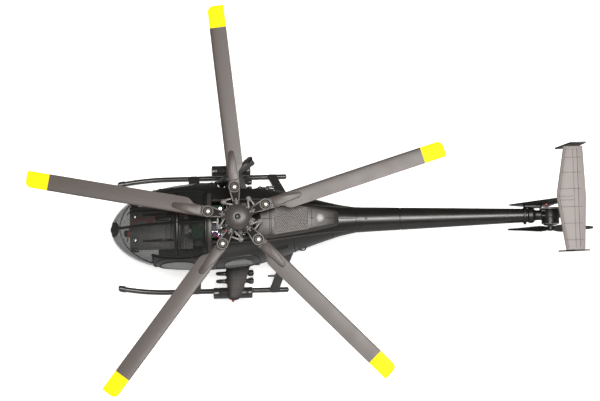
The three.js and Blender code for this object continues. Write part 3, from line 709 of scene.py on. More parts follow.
def fairing():
    inner = [i / 10 for i in range(-10, 11)]
    rows = []
    for i in range(57):
        u = i / 56
        row = []
        for s in inner:
            bent = math.copysign(1 - (1 - abs(s)) ** 1.7, s)
            front = 1 + math.sqrt(FAIRING_FRONT_RADIUS ** 2 - (12.8 * bent) ** 2)
            x = front + (FAIRING_REAR_X - front) * u
            y = bent * fairing_half(x)
            row.append((x, y, fairing_height(x, y)))
        rows.append(row + [(x, y, min(80.0, top_z(x) - 2.5)) for x, y, z in reversed(row)])
    shell = loft(rows)
    slope = loft([[(x, y, fairing_height(x, y * 0.8) - 0.9) for x, y in SCREEN_PLAN],
            [(x, y, 100) for x, y in SCREEN_PLAN]])
    shell = carve(shell, slope)
    piece("fairing_shell", shell, WING_GREY, replaces="mast_fairing", angle=26)

    back = loft([[(x, y * 0.985, fairing_height(x, y * 0.8) - 0.95) for x, y in SCREEN_PLAN],
            [(x, y * 0.985, fairing_height(x, y * 0.8) - 0.6) for x, y in SCREEN_PLAN]])
    strands = []
    for direction in (-1, 1):
        for k in range(-12, 34):
            start = 23.7 + k * SCREEN_PITCH - 8
            points = []
            for step in range(61):
                y = -10.3 + 20.6 * step / 60
                x = start + direction * (y + 10.3) * 0.62 + (0 if direction > 0 else 13)
                half = 10.3 + (7.1 - 10.3) * (x - 23.7) / 22.1
                if 23.7 <= x <= 45.8 and abs(y) <= half:
                    points.append((x, y, fairing_height(x, y * 0.8) - 0.42))
            if len(points) > 2:
                strands.append(tube([points[0], points[len(points) // 2], points[-1]], 0.2, 5))
    wires = merge(*strands)
    rim = [(x, y, fairing_height(x, y * 0.8) - 0.15) for x, y in SCREEN_PLAN]
    rim = tube(rim + rim[:1], 0.32, 6)
    screen = merge(paint(back, 1), wires, rim)
    piece("intake_mesh", screen, [MESH, MESH_BACK], replaces="intake_screen", angle=40)

    def line(points, radius=0.17, proud=0.0):
        return tube([(x, y, fairing_height(x, y) + proud) for x, y in points], radius, 6)

    seams = [line([(x, 0) for x in range(15, 24, 2)]), line([(x, 0) for x in (47, 48.5, 50)]),
            line([(x, 0) for x in (58, 60, 62, 64)]), line([(20.4, y) for y in range(-12, 13, 2)]),
            line([(48.6, y) for y in (-8, -5, 0, 5, 8)])]
    piece("fairing_seams", merge(*seams), SEAM_AND_SHADE)
    ridges = [line([(21.6, y) for y in range(-11, 12, 2)], 0.4, -0.1)]
    ridges += [line([(x, s * (fairing_half(x) - 1.6)) for x in range(16, 65, 4)], 0.4, -0.15)
            for s in (-1, 1)]
    piece("fairing_ridges", merge(*ridges), WING_GREY)

    z = fairing_height(54, 0) - 0.3
    dome = turned([(0, z), (2.25, z), (2.25, z + 0.6), (2.1, z + 1.1), (1.6, z + 1.4), (0.8, z + 1.55),
            (0, z + 1.6)], "z", (54, 0, 0), 32)
    ring = turned([(2.3, z - 0.3), (3.0, z - 0.3), (3.0, z + 0.45), (2.8, z + 0.65), (2.3, z + 0.65)], "z",
            (54, 0, 0), 36, closed=True)
    piece("beacon_dome", merge(dome, paint(ring, 1)), [LENS, MESH], replaces="beacon_lens")


# ---------------------------------------------------------------- inside the cabin


def painted_parts():
    """CAD parts that are shown as they are, each with a material."""
    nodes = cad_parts
    for name, material in (("main_frame", GEAR_BLACK), ("main_shaft", STEEL), ("lower_bearing", STEEL),
            ("upper_bearing", STEEL), ("main_gear", WHITE_GEAR), ("motor_pinion", BRASS),
            ("servo_arm_port", WHITE_GEAR), ("servo_arm_starboard", WHITE_GEAR),
            ("servo_arm_rear", WHITE_GEAR), ("swash_fixed", LINK), ("rotor_hub", HEAD)):
        data = nodes[name].data
        data.materials.clear()
        data.materials.append(material)


def cabin_deck():
    """The deck under the roof panes with its lamps, brackets and leads."""
    cover = [block(-78.6, -48.6, -14.6, 14.6, 53.5, 54.2, 0.3)]
    for x in (-72, -66, -54, -50.5):
        cover.append(block(x, x + 0.9, -13.4, 13.4, 54.0, 54.9, 0.2))
    for y in (-13.8, 13.0):
        cover.append(block(-77.8, -49.4, y, y + 0.8, 54.0, 55.4, 0.25))
    for x in (-47.2, -44.2, -41.2):
        cover.append(block(x, x + 1.2, -13.5, 13.5, 53.5, 56.2, 0.3))
    for y in (-9.5, 9.5):
        cover.append(screw((-75.5, y, 54.1), 1.1, 0.7))
    piece("cabin_deck_cover", merge(*cover), DECK)

    bulb = [(0, 54.3), (1.7, 54.3), (1.9, 55.4), (1.5, 56.0), (1.2, 55.7), (0, 55.9)]
    bulbs = [turned(bulb, "z", (-75.2, side * 8.2, 0), 22) for side in (-1, 1)]
    piece("cabin_lamps", merge(*bulbs), MOTOR)
    brackets = [block(-77.6, -72.6, s * 15.3 - 1.2, s * 15.3 + 1.2, 50.5, 56.5, 0.5) for s in (-1, 1)]
    rest = [(-70, 54.2), (-48, 54.2), (-48, 56), (-52, 61), (-56, 61.6), (-60, 57)]
    brackets += [prism(rest, s * 9 - 0.7, s * 9 + 0.7, "xz", 0.3) for s in (-1, 1)]
    brackets.append(prism(rounded(-60.5, -49, 53.9, 56.6, (1,) * 4, 3), 4.6, 7.6, "xz", 0.4))
    brackets.append(block(-82.6, -77.4, -5.6, -1.2, 50.8, 54.4, 0.6))
    piece("cabin_brackets", merge(*brackets), BLACK)
    red = smooth_path([(-80.5, -9.5, 54.6), (-79.3, -3.5, 55.2), (-77.6, 2.2, 55.4), (-74.0, 5.6, 55.6),
            (-69.5, 6.6, 55.6), (-65.5, 4.0, 55.6), (-63.5, 4.8, 55.3), (-58, 8.6, 55.3), (-48, 9.6, 54.8),
            (-39.5, 7.0, 57)])
    piece("lamp_lead_red", tube(red, 0.42), RED_WIRE)
    black = smooth_path([(-80.5, 9.5, 54.6), (-76.6, 11.6, 55.0), (-66, 11.9, 55.2), (-54, 11.6, 55.0),
            (-39.5, 8.2, 56)])
    piece("lamp_lead_black", tube(black, 0.42), BLACK_WIRE)


def battery_pack():
    """Three cells in a wrap, with their leads."""
    pack = [soften(block(-69.8, -42.2, -10.8, 10.8, z, z + 5.3, 0), 1.5, 4) for z in (33.5, 39.0, 44.5)]
    end = block(-69.4, -42.6, -9.9, 9.9, 34.2, 49.2, 0.6)
    lead = [tube(smooth_path([(-43, y, 47), (-40, y, 47.5), (-39.4, y * 0.8, 44), (-39.2, y, 36)]), 0.7)
            for y in (-3, 3)]
    piece("battery_pack", merge(*pack, paint(end, 1), paint(lead[0], 2), paint(lead[1], 3)),
          [WRAP, CHIP, BLACK_WIRE, RED_WIRE], replaces="battery")


BOARD_TOP = 82.4


def flight_board():
    """The circuit board ahead of the mast, its parts and the wires that leave it."""
    board = [prism(rounded(-33, -10.5, -11, 11, (1.2,) * 4, 4), 81.4, BOARD_TOP, "xy", 0.12)]
    chips = [block(-20.5, -15.0, -6.5, -1.0, BOARD_TOP, 83.5, 0.15), block(-29, -24, -3, 3, BOARD_TOP, 83.4,
            0.15), block(-18, -14.6, 2.2, 5.6, BOARD_TOP, 83.3, 0.15)]
    parts = [rod("z", 1.3, BOARD_TOP, 84.0, (-13.2, y, 0), 16, 0.2) for y in (-4.2, 8.4)]
    parts += [block(x, x + 0.9, y, y + 1.6, BOARD_TOP, 82.9, 0.08) for x in (-17.0, -15.2, -13.4)
            for y in (-9.4, 6.4)]
    for k in range(8):
        for y0, y1 in ((-7.4, -6.4), (-1.1, -0.2)):
            parts.append(block(-20.3 + 0.66 * k, -20.0 + 0.66 * k, y0, y1, 82.35, 82.7, 0))
    plug = [block(-12.7, -10.8, y, y + 4.4, BOARD_TOP, 84.6, 0.25) for y in (-10.6, 0.4)]
    piece("flight_circuit", merge(*board, *[paint(c, 1) for c in chips], *[paint(p, 2) for p in parts],
            *[paint(p, 3) for p in plug]), [BOARD, CHIP, SOLDER, LINK],
            replaces="flight_board")
    leads = []
    for k, y in enumerate((-10.0, -9.0, -8.0, -7.0)):
        path = smooth_path([(-11.9, y, 84.2), (-9.6, y, 84.4), (-8.4 - 0.2 * k, y - 0.3, 82.0),
                (-9.4, y, 78.6), (-9.0, y - 0.3, 74)])
        leads.append(paint(tube(path, 0.45), k % 3))
    leads.append(paint(tube(smooth_path([(-17.6, -8.0, 83.4), (-15.5, -10.4, 84.1), (-11.5, -12.2, 83.6),
            (-7.4, -12.2, 80.5), (-6.6, -11.4, 74)]), 0.55), 0))
    leads.append(paint(tube(smooth_path([(-17.6, -6.8, 83.8), (-15.6, -9.2, 84.6), (-12.4, -11.0, 84.3),
            (-8.4, -11.1, 81.0), (-7.8, -10.4, 74)]), 0.55), 1))
    piece("flight_leads", merge(*leads), [RED_WIRE, BLUE_WIRE, BLACK_WIRE])


MOTOR_X = -19.5


def drive_parts():
    """The three servo cases and the main motor."""
    for name, spot in (("servo_port", (-7, 9.8, -16.2, -9.2)), ("servo_starboard", (-7, 9.8, 9.2, 16.2)),
            ("servo_rear", (10.8, 17.6, -6, 10.8))):
        x0, x1, y0, y1 = spot
        layers = ((62.8, 66.2, 0, 0.4), (66.2, 66.6, 0.15, 0), (66.6, 73.8, 0, 0.4), (73.8, 74.2, 0.15, 0),
                (74.2, 77.8, 0, 0.4))
        case = [block(x0 + inset, x1 - inset, y0 + inset, y1 - inset, z0, z1, edge) for z0, z1, inset,
                edge in layers]
        piece(f"{name}_case", merge(*case), BLACK, replaces=name)

    can = turned([(0, 35.0), (4.4, 35.0), (4.6, 35.4), (4.6, 36), (6.6, 36.1), (7, 36.6), (7, 50.6),
            (6.8, 51.4), (6.2, 52.3), (5.2, 52.7), (1.4, 52.7), (1.4, 48.5)], "z", (MOTOR_X, 0, 0), 48)
    band = turned([(7.05, 40), (7.12, 40.3), (7.12, 47), (7.05, 47.3)], "z", (MOTOR_X, 0, 0), 48)
    piece("drive_motor", merge(can, paint(band, 1)), [MOTOR, BLACK],
            replaces="main_motor")


def interior():
    painted_parts()
    cabin_deck()
    battery_pack()
    flight_board()
    drive_parts()


# ---------------------------------------------------------------- rotor head

ROTOR_PLANE = 102.0
ROTOR_RADIUS = 145.0
FIRST_BLADE = 23.5
BLADE_SWING = (-6.5, 0.4, 1.5, -7.0, 2.9)
BOLT_RADIUS = 20.4
LEADING = 3.8
TRAILING = -7.4
BLADE_LENGTH = ROTOR_RADIUS - BOLT_RADIUS
TIP_BAND = 15.2


def spoke(i):
    """From one blade's own place, with x out along it, to the helicopter."""
    return shift(0, 0, ROTOR_PLANE) @ spin(FIRST_BLADE + 72 * i)


ROOT_RIB = [(4.9, -3.3), (10, -3.0), (17, -2.6), (23.0, -2.3), (24.2, -1.8), (24.6, -0.8), (24.4, 0.4),
        (23.4, 1.1), (17, 2.0), (10, 3.0), (4.9, 3.3)]


def blade_mesh():
    """A symmetric airfoil with a narrow root, a painted tip band and a stiffening rib."""
    lead = smooth([(0, LEADING), (BLADE_LENGTH - 4.2, LEADING), (BLADE_LENGTH - 2.2, 3.35),
            (BLADE_LENGTH - 0.8, 2.1), (BLADE_LENGTH - 0.15, 0.6), (BLADE_LENGTH, -0.6)])
    trail = smooth([(1.4, -3.6), (9.6, -3.8), (10.8, -4.2), (13.6, -6.4), (15.6, -7.2), (17.4, TRAILING),
            (BLADE_LENGTH - 1.2, TRAILING), (BLADE_LENGTH - 0.3, -7.2), (BLADE_LENGTH, -6.6)])
    half = smooth([(1.4, 1.1), (12.4, 1.1), (20, 0.95), (60, 0.85), (BLADE_LENGTH - 2, 0.75),
            (BLADE_LENGTH, 0.4)])
    stations = [1.4, 4, 7, 9.6, 10.2, 10.8, 11.5, 12.3, 13, 13.6, 14.6, 15.6, 17.4, 22, 30, 42, 56, 70, 84,
            98, BLADE_LENGTH - TIP_BAND, BLADE_LENGTH - 10, BLADE_LENGTH - 6, BLADE_LENGTH - 4.2,
            BLADE_LENGTH - 3.2, BLADE_LENGTH - 2.2, BLADE_LENGTH - 1.4, BLADE_LENGTH - 0.8,
            BLADE_LENGTH - 0.4, BLADE_LENGTH - 0.15, BLADE_LENGTH]
    shares = [0, 0.012, 0.05, 0.12, 0.22, 0.35, 0.5, 0.66, 0.82, 0.94, 1.0]

    def thickness(f):
        return 0.12 + 2.35 * (0.2969 * math.sqrt(f) - 0.126 * f - 0.3516 * f * f
                + 0.2843 * f ** 3 - 0.1015 * f ** 4) * 2.05

    rings = []
    for x in stations:
        a, b, h = lead(x), trail(x), half(x)
        upper = [(x, a + (b - a) * f, h * min(1, thickness(f))) for f in shares]
        lower = [(p[0], p[1], -p[2]) for p in reversed(upper)]
        rings.append(upper + lower)
    body = loft(rings)
    root = turned([(1.6, -1.1), (3.6, -1.1), (3.8, -0.9), (3.8, 0.9), (3.6, 1.1), (1.6, 1.1)], sides=36,
            closed=True)
    rib = []
    for side in (1, -1):
        rib.append(prism(ROOT_RIB, *span(side, 0.7, 1.42), "xy", 0.15))
    rows = [[(x, y, side * 1.12) for x, y in ROOT_RIB] for side in (1, -1)]
    shadow = merge(*[tube(row + row[:1], 0.17, 6) for row in rows])
    whole = paint(merge(body, root, *rib), 1, lambda m: m.x > BLADE_LENGTH - TIP_BAND)
    return merge(whole, paint(shadow, 2))


HORN_BALL = (11.6, 8.6, -1.05)


def grip_mesh():
    """Two plates with raised rims round a sunk pocket, on a block that turns on the hub's spindle. The plates
    floor the pocket and are painted darker than the head as painted shade.
    """
    flank = [(BOLT_RADIUS + x, y) for x, y in (polar(4, a) for a in range(-100, 101, 10))]
    outline = [(10.2, 2.3), (10.2, -2.3)] + flank
    parts = []
    for side in (1, -1):
        # Each plate, the pocket's floor, takes the dark pocket finish: painted shade.
        parts.append(paint(prism(outline, *span(side, 1.5, 2.5), "xy", 0.25), 1))
        low, high = span(side, 2.4, 3.15)
        rail = [(10.4, 2.3), (10.4, 1.35), (16.6, 2.35), (18.4, 2.75), (19.4, 3.85)]
        parts.append(prism(rail, low, high, "xy", 0.22))
        parts.append(prism([(x, -y) for x, y in reversed(rail)], low, high, "xy", 0.22))
        parts.append(block(10.2, 11.4, -2.2, 2.2, low, high, 0.22))
        parts.append(turned([(2.95, low), (4.0, low), (4.0, high - 0.2), (3.8, high), (3.15, high),
                (2.95, high - 0.2)], "z", (BOLT_RADIUS, 0, 0), 40, closed=True))
        parts.append(turned([(1.9, low), (2.45, low), (2.45, high - 0.35), (2.3, high - 0.2),
                (1.9, high - 0.2)], "z", (BOLT_RADIUS, 0, 0), 32, closed=True))
    parts.append(block(10.2, 15.4, -2.5, 2.5, -1.6, 1.6, 0.3))
    parts.append(turned([(1.55, 7.3), (2.35, 7.3), (2.6, 7.6), (2.6, 12.6), (1.55, 12.6)], "x", (0, 0, 0), 32,
            closed=True))
    for foot, eye in (((8.9, 2.0), (10.8, 8.2)), ((13.4, 2.2), (12.4, 8.2))):
        bar = [(foot[0] - 0.65, foot[1]), (foot[0] + 0.65, foot[1]), (eye[0] + 0.6, eye[1]),
                (eye[0] - 0.6, eye[1])]
        parts.append(paint(prism(bar, -1.7, -0.4, "xy", 0.25), 2))
    eye = turned([(1.05, -1.7), (1.7, -1.5), (1.7, -0.6), (1.05, -0.4)], "z", (HORN_BALL[0], HORN_BALL[1], 0),
            24, closed=True)
    parts.append(paint(eye, 2))
    return merge(*parts)


SWASH_BALL = (9.4, 6.4, -12.9)


def ball(centre, radius):
    profile = [(y, -x) for x, y in (polar(radius, a) for a in range(0, 181, 18))]
    return turned(profile, "z", centre, 18)


def rotor():
    for i in range(5):
        swing = shift(BOLT_RADIUS, 0, 0) @ spin(BLADE_SWING[i])
        n = i + 1
        piece(f"main_blade_{n}", moved(blade_mesh(), spoke(i) @ swing), [BLADE, TIP, SEAM_AND_SHADE], f"blade_body_{n}",
                f"blade_{n}")
        piece(f"grip_arm_{n}", moved(grip_mesh(), spoke(i)), [HEAD, POCKET_SHADE, LINK], f"grip_{n}",
                f"blade_grip_{n}")
        bolt = merge(rod("z", 1.28, -3.4, 2.7, (BOLT_RADIUS, 0, 0), 20),
                screw((BOLT_RADIUS, 0, 2.45), 1.75, 1.15), turned([(0, -2.9), (2.0, -2.9), (2.0, -3.9),
                (1.6, -4.1), (0, -4.1)], "z", (BOLT_RADIUS, 0, 0), 6))
        piece(f"blade_bolt_{n}", moved(bolt, spoke(i)), STEEL, f"grip_{n}")
        piece(f"horn_ball_{n}", moved(ball(HORN_BALL, 1.0), spoke(i)), STEEL, f"grip_{n}")

        reach = math.hypot(SWASH_BALL[0], SWASH_BALL[1])
        turn = spoke(i) @ Matrix.Rotation(math.atan2(SWASH_BALL[1], SWASH_BALL[0]), 4, "Z")
        top = Vector((math.hypot(*HORN_BALL[:2]), 0.55, HORN_BALL[2]))
        arm = prism(folded([(4.4, -2.4), (9.8, -0.9), (11.6, -0.9)], [(12.3, 0)]), -13.6, -12.2, "xy", 0.25)
        rodlet = tube([(reach, 0, -12.9), (reach, 0, -11.2), (reach + 0.9, 0.2, -7), tuple(top)], 0.62, 10)
        cup = turned([(1.0, -0.95), (1.75, -0.8), (1.95, 0), (1.75, 0.8), (1.0, 0.95)], "x", (0, 0, 0), 24,
                closed=True)
        cups = [moved(c, shift(*p) @ spin(60) @ Matrix.Scale(size, 4)) for c, p,
                size in ((cup.copy(), top - Vector((0, 0, 0.1)), 1), (cup, Vector((reach, 0, -12.9)), 0.75))]
        web = prism([(reach - 1.1, -9.8), (reach + 2.4, -3.2), (reach + 3.3, -1.6), (reach + 1.9, -1.2),
                (reach - 0.9, -6)], -0.5, 0.5, "xz", 0.2)
        link = merge(arm, rodlet, *cups, web)
        piece(f"pitch_link_{n}", moved(link, turn), LINK, "swash_upper")

    collar = turned([(1.85, 88), (5.7, 88), (6, 88.3), (6, 89.9), (5.7, 90.2), (3.4, 90.2), (3.2, 91.0),
            (1.85, 91.0)], sides=48, closed=True)
    piece("swash_upper_ring", collar, LINK, "swash_upper", "swash_turning")

    dome = [(0, 104.9), (8.2, 104.9), (8.45, 105.1), (8.5, 105.5), (8.35, 106.2), (7.9, 106.9), (7.1, 107.6),
            (6.0, 108.2), (4.6, 108.65), (3.2, 108.9), (2.1, 109.0), (1.75, 108.9), (1.65, 108.6),
            (1.65, 107.6), (0, 107.6)]
    # The hole at the top of the dome is painted near-black: painted shade in the recess round the screw.
    cap = paint(turned(dome, sides=72), 1, lambda m: m.xy.length < 1.75 and m.z > 106)
    piece("hub_cap_dome", cap, [HEAD, SEAM_AND_SHADE], "rotor_head", "hub_cap")
    head = turned([(1.15, 107.5), (1.15, 108.0), (0.95, 108.2), (0.6, 108.2), (0.55, 107.8), (0, 107.8)],
            sides=24)
    piece("hub_cap_screw", head, BLACK, "rotor_head")


# ---------------------------------------------------------------- tail

BOOM_Z = 70.5
FIN_Y = 7.4
STAB_Z = 101.3
END_PLATE_CANT = 4.5       # degrees that the top leans outwards
boom_radius = smooth([(78, 8.6), (108, 7.6), (143, 6.4), (176, 5.2), (194.6, 4.55)])


def boom():
    profile = [(7.6, 78.05), (8.6, 78.05), (8.62, 78.2), (8.6, 80.6), (8.52, 80.9)]
    profile += [(boom_radius(x), x) for x in range(82, 107, 4)]
    profile += [(boom_radius(107.6), 107.6), (boom_radius(108) - 0.3, 107.8), (boom_radius(108) - 0.3, 108.3),
            (boom_radius(108.5), 108.5)]
    profile += [(boom_radius(x), x) for x in range(112, 189, 4)]
    profile += [(4.7, 190.2), (4.85, 190.4), (4.85, 191.3), (4.65, 191.5), (4.62, 194.2), (4.35, 194.6),
            (3.6, 194.6), (3.6, 192), (7.0, 84), (7.6, 80)]
    shell = turned(profile, "x", (0, 0, BOOM_Z), 64, closed=True)
    spigot = turned([(6.0, 68), (7.0, 68), (7.2, 68.3), (7.2, 80), (6.0, 80)], "x", (0, 0, BOOM_Z), 48,
            closed=True)
    piece("boom_tube", merge(shell, spigot), SHELL, replaces="tail_boom")
    z = BOOM_Z + boom_radius(85) - 0.2
    piece("boom_screw", screw((85, 0, z), 0.9, 0.4), BLACK)


def tail_drive():
    centre = (0, 0, BOOM_Z)
    motor = (209.5, 0, BOOM_Z)
    strap = turned([(5.2, 191.5), (5.7, 191.5), (5.95, 191.8), (5.95, 192.9), (5.7, 193.2), (5.2, 193.2)],
            "x", centre, 40, closed=True)
    plate = prism(rounded(191.6, 204, 66, 75, (1.2,) * 4, 4), 5.1, 6.7, "xz", 0.25)
    plug = turned([(0, 194.7), (4.9, 194.7), (5.2, 195.0), (5.2, 197.6), (4.6, 198.4), (3.6, 199.4),
            (3.4, 200.4), (3.4, 203), (3.9, 204.6), (0, 205)], "x", centre, 40)
    cradle = turned([(5.45, -2.2), (6.5, -2.2), (6.9, -1.8), (6.9, 3.0), (6.6, 3.5), (5.45, 3.5)], "y", motor,
            44, closed=True)
    lip = turned([(5.45, 3.5), (7.2, 3.5), (7.2, 4.3), (6.9, 4.6), (5.45, 4.6)], "y", motor, 44, closed=True)
    low = turned([(5.3, -6.0), (5.8, -6.0), (6.0, -5.7), (6.0, -2.0), (5.3, -2.0)], "y", motor, 44,
            closed=True)
    clamp = [rod("x", 0.9, 203.0, 206.0, (0, y, BOOM_Z + 6.2), 14) for y in (-1, 2.2)]
    mount = merge(strap, plate, plug, cradle, low, paint(lip, 1), *clamp)
    piece("tail_mount", mount, [BLACK, MESH], replaces="tail_motor_mount")
    can = turned([(0, 4.0), (4.2, 4.0), (4.9, 3.7), (5.2, 3.2), (5.2, -5.8), (4.9, -6.6), (3.6, -7.2),
            (1.3, -7.3), (1.3, -4)], "y", motor, 48)
    piece("tail_motor_can", can, MOTOR, replaces="tail_motor")

    stations = [(1.6, 3.4, 48), (4, 5.4, 44), (7, 6.9, 40), (10, 7.0, 36), (14, 6.7, 31), (18, 6.3, 27),
            (22, 5.8, 23), (25, 5.3, 20), (27, 4.8, 18), (28.2, 3.9, 17), (28.7, 2.6, 17), (28.8, 1.6, 17)]
    shape = [(-0.5, 0.06), (-0.42, 0.3), (-0.25, 0.5), (0, 0.58), (0.25, 0.42), (0.5, 0.06)]
    shape += [(c, -t * 0.8) for c, t in reversed(shape)]
    rings = []
    for x, chord, pitch in stations:
        turn = math.radians(pitch)
        rings.append([(x, -9.3 + c * chord * math.sin(turn) + t * math.cos(turn),
                c * chord * math.cos(turn) - t * math.sin(turn)) for c, t in shape])
    one = loft(rings)
    other = moved(one.copy(), spin(180, "Y"))
    hub = turned([(0, -10.9), (0.9, -10.9), (1.9, -10.6), (2.5, -9.9), (2.5, -8.0), (2.2, -7.7), (0.8, -7.7),
            (0.8, -4.2), (0, -4.2)], "y", sides=32)
    prop = moved(merge(one, other, hub), shift(*motor))
    piece("tail_rotor_blades", prop, BLACK, "tail_rotor_body", "tail_rotor", 40)


def tail_surfaces():
    top = STAB_Z - 1.1 - GAP
    edge = [(182, 70.6), (186, 66.6), (190, 63.8), (200, 60.2), (208.4, 57.5), (209.6, 58.4), (211.2, 66),
            (213.4, 74), (220, 87), (227, top), (211.6, top)]
    fin = prism(edge, FIN_Y - 0.55, FIN_Y + 0.55, "xz", 0.3)
    spar = prism([(199, 66), (200, 66), (218, top - 1), (217, top - 1)], FIN_Y - 0.75, FIN_Y + 0.75, "xz",
            0.15)
    piece("fin_panel", merge(fin, spar), BLACK, replaces="tail_fin")
    lamp = turned([(0, FIN_Y - 0.4), (1.0, FIN_Y - 0.4), (1.0, FIN_Y - 1.2), (0.7, FIN_Y - 1.8),
            (0, FIN_Y - 2.0)], "y", (206.5, 0, 77.5), 20)
    piece("fin_lamp", lamp, RED_LENS)

    plan_lead = straight([(-34, 216.6), (1.5, 211.5), (34, 217)])
    plan_trail = straight([(-34, 229.4), (0.5, 231.2), (34, 230)])
    shares = [0, 0.02, 0.07, 0.16, 0.3, 0.5, 0.72, 0.9, 1.0]
    thick = [0.12, 0.42, 0.72, 0.95, 1.08, 1.1, 0.92, 0.55, 0.25]
    rings = []
    for y in (-34.6, *range(-32, 33, 4), 34.6):
        a, b = plan_lead(y), plan_trail(y)
        squeeze = 0.75 if abs(y) > 33 else 1.0
        upper = [(a + (b - a) * f, FIN_Y + y, STAB_Z + t * squeeze) for f, t in zip(shares, thick)]
        lower = [(p[0], p[1], 2 * STAB_Z - p[2]) for p in reversed(upper)]
        rings.append(upper + lower)
    panel = loft(rings)

    def surface(x, y):
        a, b = plan_lead(y), plan_trail(y)
        f = min(1, max(0, (x - a) / (b - a)))
        for i in range(len(shares) - 1):
            if f <= shares[i + 1]:
                t = (f - shares[i]) / (shares[i + 1] - shares[i])
                return thick[i] + (thick[i + 1] - thick[i]) * t
        return thick[-1]

    spots = []
    for y, end in ((-28, 228), (-17, 228), (-6, 228), (-1.5, 223), (1, 223), (6, 228), (17, 228), (27, 228)):
        x = plan_lead(y) + 2.2
        while x < end:
            spots.append((x, y))
            x += 1.6
    y = -32.5
    while y < 32.6:
        spots += [(plan_lead(y) + 2.0, y), (223.3, y)]
        y += 1.7
    tops = [((x, FIN_Y + y, STAB_Z + surface(x, y)), (0, 0, 1)) for x, y in spots]
    piece("stabilizer_panel", panel, PALE, replaces="stabilizer", angle=36)
    piece("stabilizer_rivets", rivets(tops, 0.36, 0.06), RIVET)
    seam = tube([(226.1, FIN_Y + y, STAB_Z + surface(226.1, y) + 0.02) for y in range(-33, 34, 3)], 0.13, 6)
    piece("stabilizer_hinge_line", seam, SEAM_AND_SHADE)

    for name, side in (("port", -1), ("starboard", 1)):
        outline = trimmed([(211.6, -8.4), (224.5, -8.4), (232.2, 8.6), (221.4, 8.6)], 1.6)
        plate = prism(outline, -0.5, 0.5, "xz", 0.25)
        turn = shift(0, FIN_Y + side * 35.1, STAB_Z) @ spin(-side * END_PLATE_CANT, "X")
        piece(f"end_plate_panel_{name}", moved(plate, turn), BLACK,
                replaces=f"end_plate_{name}")


# ---------------------------------------------------------------- undercarriage and stores

SKID_Y = 40.6
SKID_RADIUS = 1.8
SKID_BEND_X = -58
SKID_FRONT_X = -93.4
SKID_RISE = 3
SKID_TOE_IN = 3.6
WING_Z = 24.45
WING_HALF_THICK = 1.65
POD_Y, POD_Z = 43.4, 17.6
MISSILE_Z = 18.4


def ellipse(x, y, z, half_chord, half_thick, sides=24):
    """A level ring of points."""
    return [(x + half_chord * math.cos(2 * math.pi * i / sides), y
            + half_thick * math.sin(2 * math.pi * i / sides), z) for i in range(sides)]


def skid(fit):
    """A tube that rises and turns inwards at the front, with a plug in its end."""
    def bend(x):
        return max(0, (SKID_BEND_X - x) / (SKID_BEND_X - SKID_FRONT_X)) ** 2

    stations = [28, 27.8, 27.2, 24, 10, -10, -30, -45] + [-56 - 1.7 * k for k in range(19)]
    stations += [-88.0, -88.3, -88.6, -91, -92.8, -93.3, -93.4]
    radii = [0.3, 1.3, *[SKID_RADIUS] * (len(stations) - 8), 1.85, 2.25, 2.3, 2.1, 1.5, 0.4]
    rings = []
    for x, r in zip(stations, radii):
        y, z = SKID_Y - SKID_TOE_IN * bend(x), SKID_RADIUS + SKID_RISE * bend(x)
        rings.append([(x, *p[:2]) for p in ellipse(y, z, 0, r, r, 20)])
    fit("skid_tube", loft(rings), GEAR_BLACK, "gear_black", "skid")


def legs(fit):
    """Each leg: a streamlined strut, flared at both ends, on a saddle. The rear one has a step.

    Its foot and top are (x, y, z, half chord); limit is how far up towards the top it reaches.
    """
    for title, foot, top, limit, step_z in (("front", (-38.7, 40.4, 3.3, 3.8), (-33.6, 12, 36, 4.5), 0.72,
            None), ("rear", (17.8, 40.4, 3.3, 3.4), (34, 9, 44, 3.7), 0.93, 14.5)):
        def spot(s):
            return [foot[j] + (top[j] - foot[j]) * s for j in range(4)]

        rows = []
        for s in [k / 11 * limit for k in range(12)]:
            x, y, z, chord = spot(s)
            flare = 1 + 0.35 * max(0, 1 - s / 0.08) + 0.25 * max(0, (s - limit + 0.1) / 0.1)
            rows.append(ellipse(x, y, z, chord * (1 + (flare - 1) * 0.4), 1.3 * flare))
        parts = [loft(rows)]
        if step_z is not None:
            x, y, z, _ = spot((step_z - foot[2]) / (top[2] - foot[2]))
            parts += [rod("x", radius, x - length, x, (0, y, z), 14) for radius,
                    length in ((0.7, 8.4), (1.0, 4.0))]
        saddle = [(0, -2.4), (1.75, -2.4), (1.95, -2.1), (1.95, 2.1), (1.75, 2.4), (0, 2.4)]
        parts.append(turned(saddle, "x", (foot[0], SKID_Y, 1.95), 24))
        fit(f"leg_{title}_strut", merge(*parts), GEAR_BLACK, "gear_black", f"leg_{title}")


wing_lead = smooth([(22, -15.4), (25, -15), (46, -13.8), (48, -13.2), (49, -11.4), (49.2, -10.2)])
wing_trail = smooth([(22, 2.6), (25, 2.2), (46, -4.3), (48, -5.6), (49, -7.8), (49.2, -9.4)])
WING_SHAPE = [(0, 0.12), (0.03, 0.5), (0.1, 0.8), (0.25, 1), (0.45, 0.97), (0.7, 0.7), (0.9, 0.35), (1, 0.15)]


def wing_ring(y, front, rear, half_thick):
    upper = [(front + (rear - front) * f, y, WING_Z + half_thick * h) for f, h in WING_SHAPE]
    return upper + [(x, y, 2 * WING_Z - z) for x, y, z in reversed(upper)]


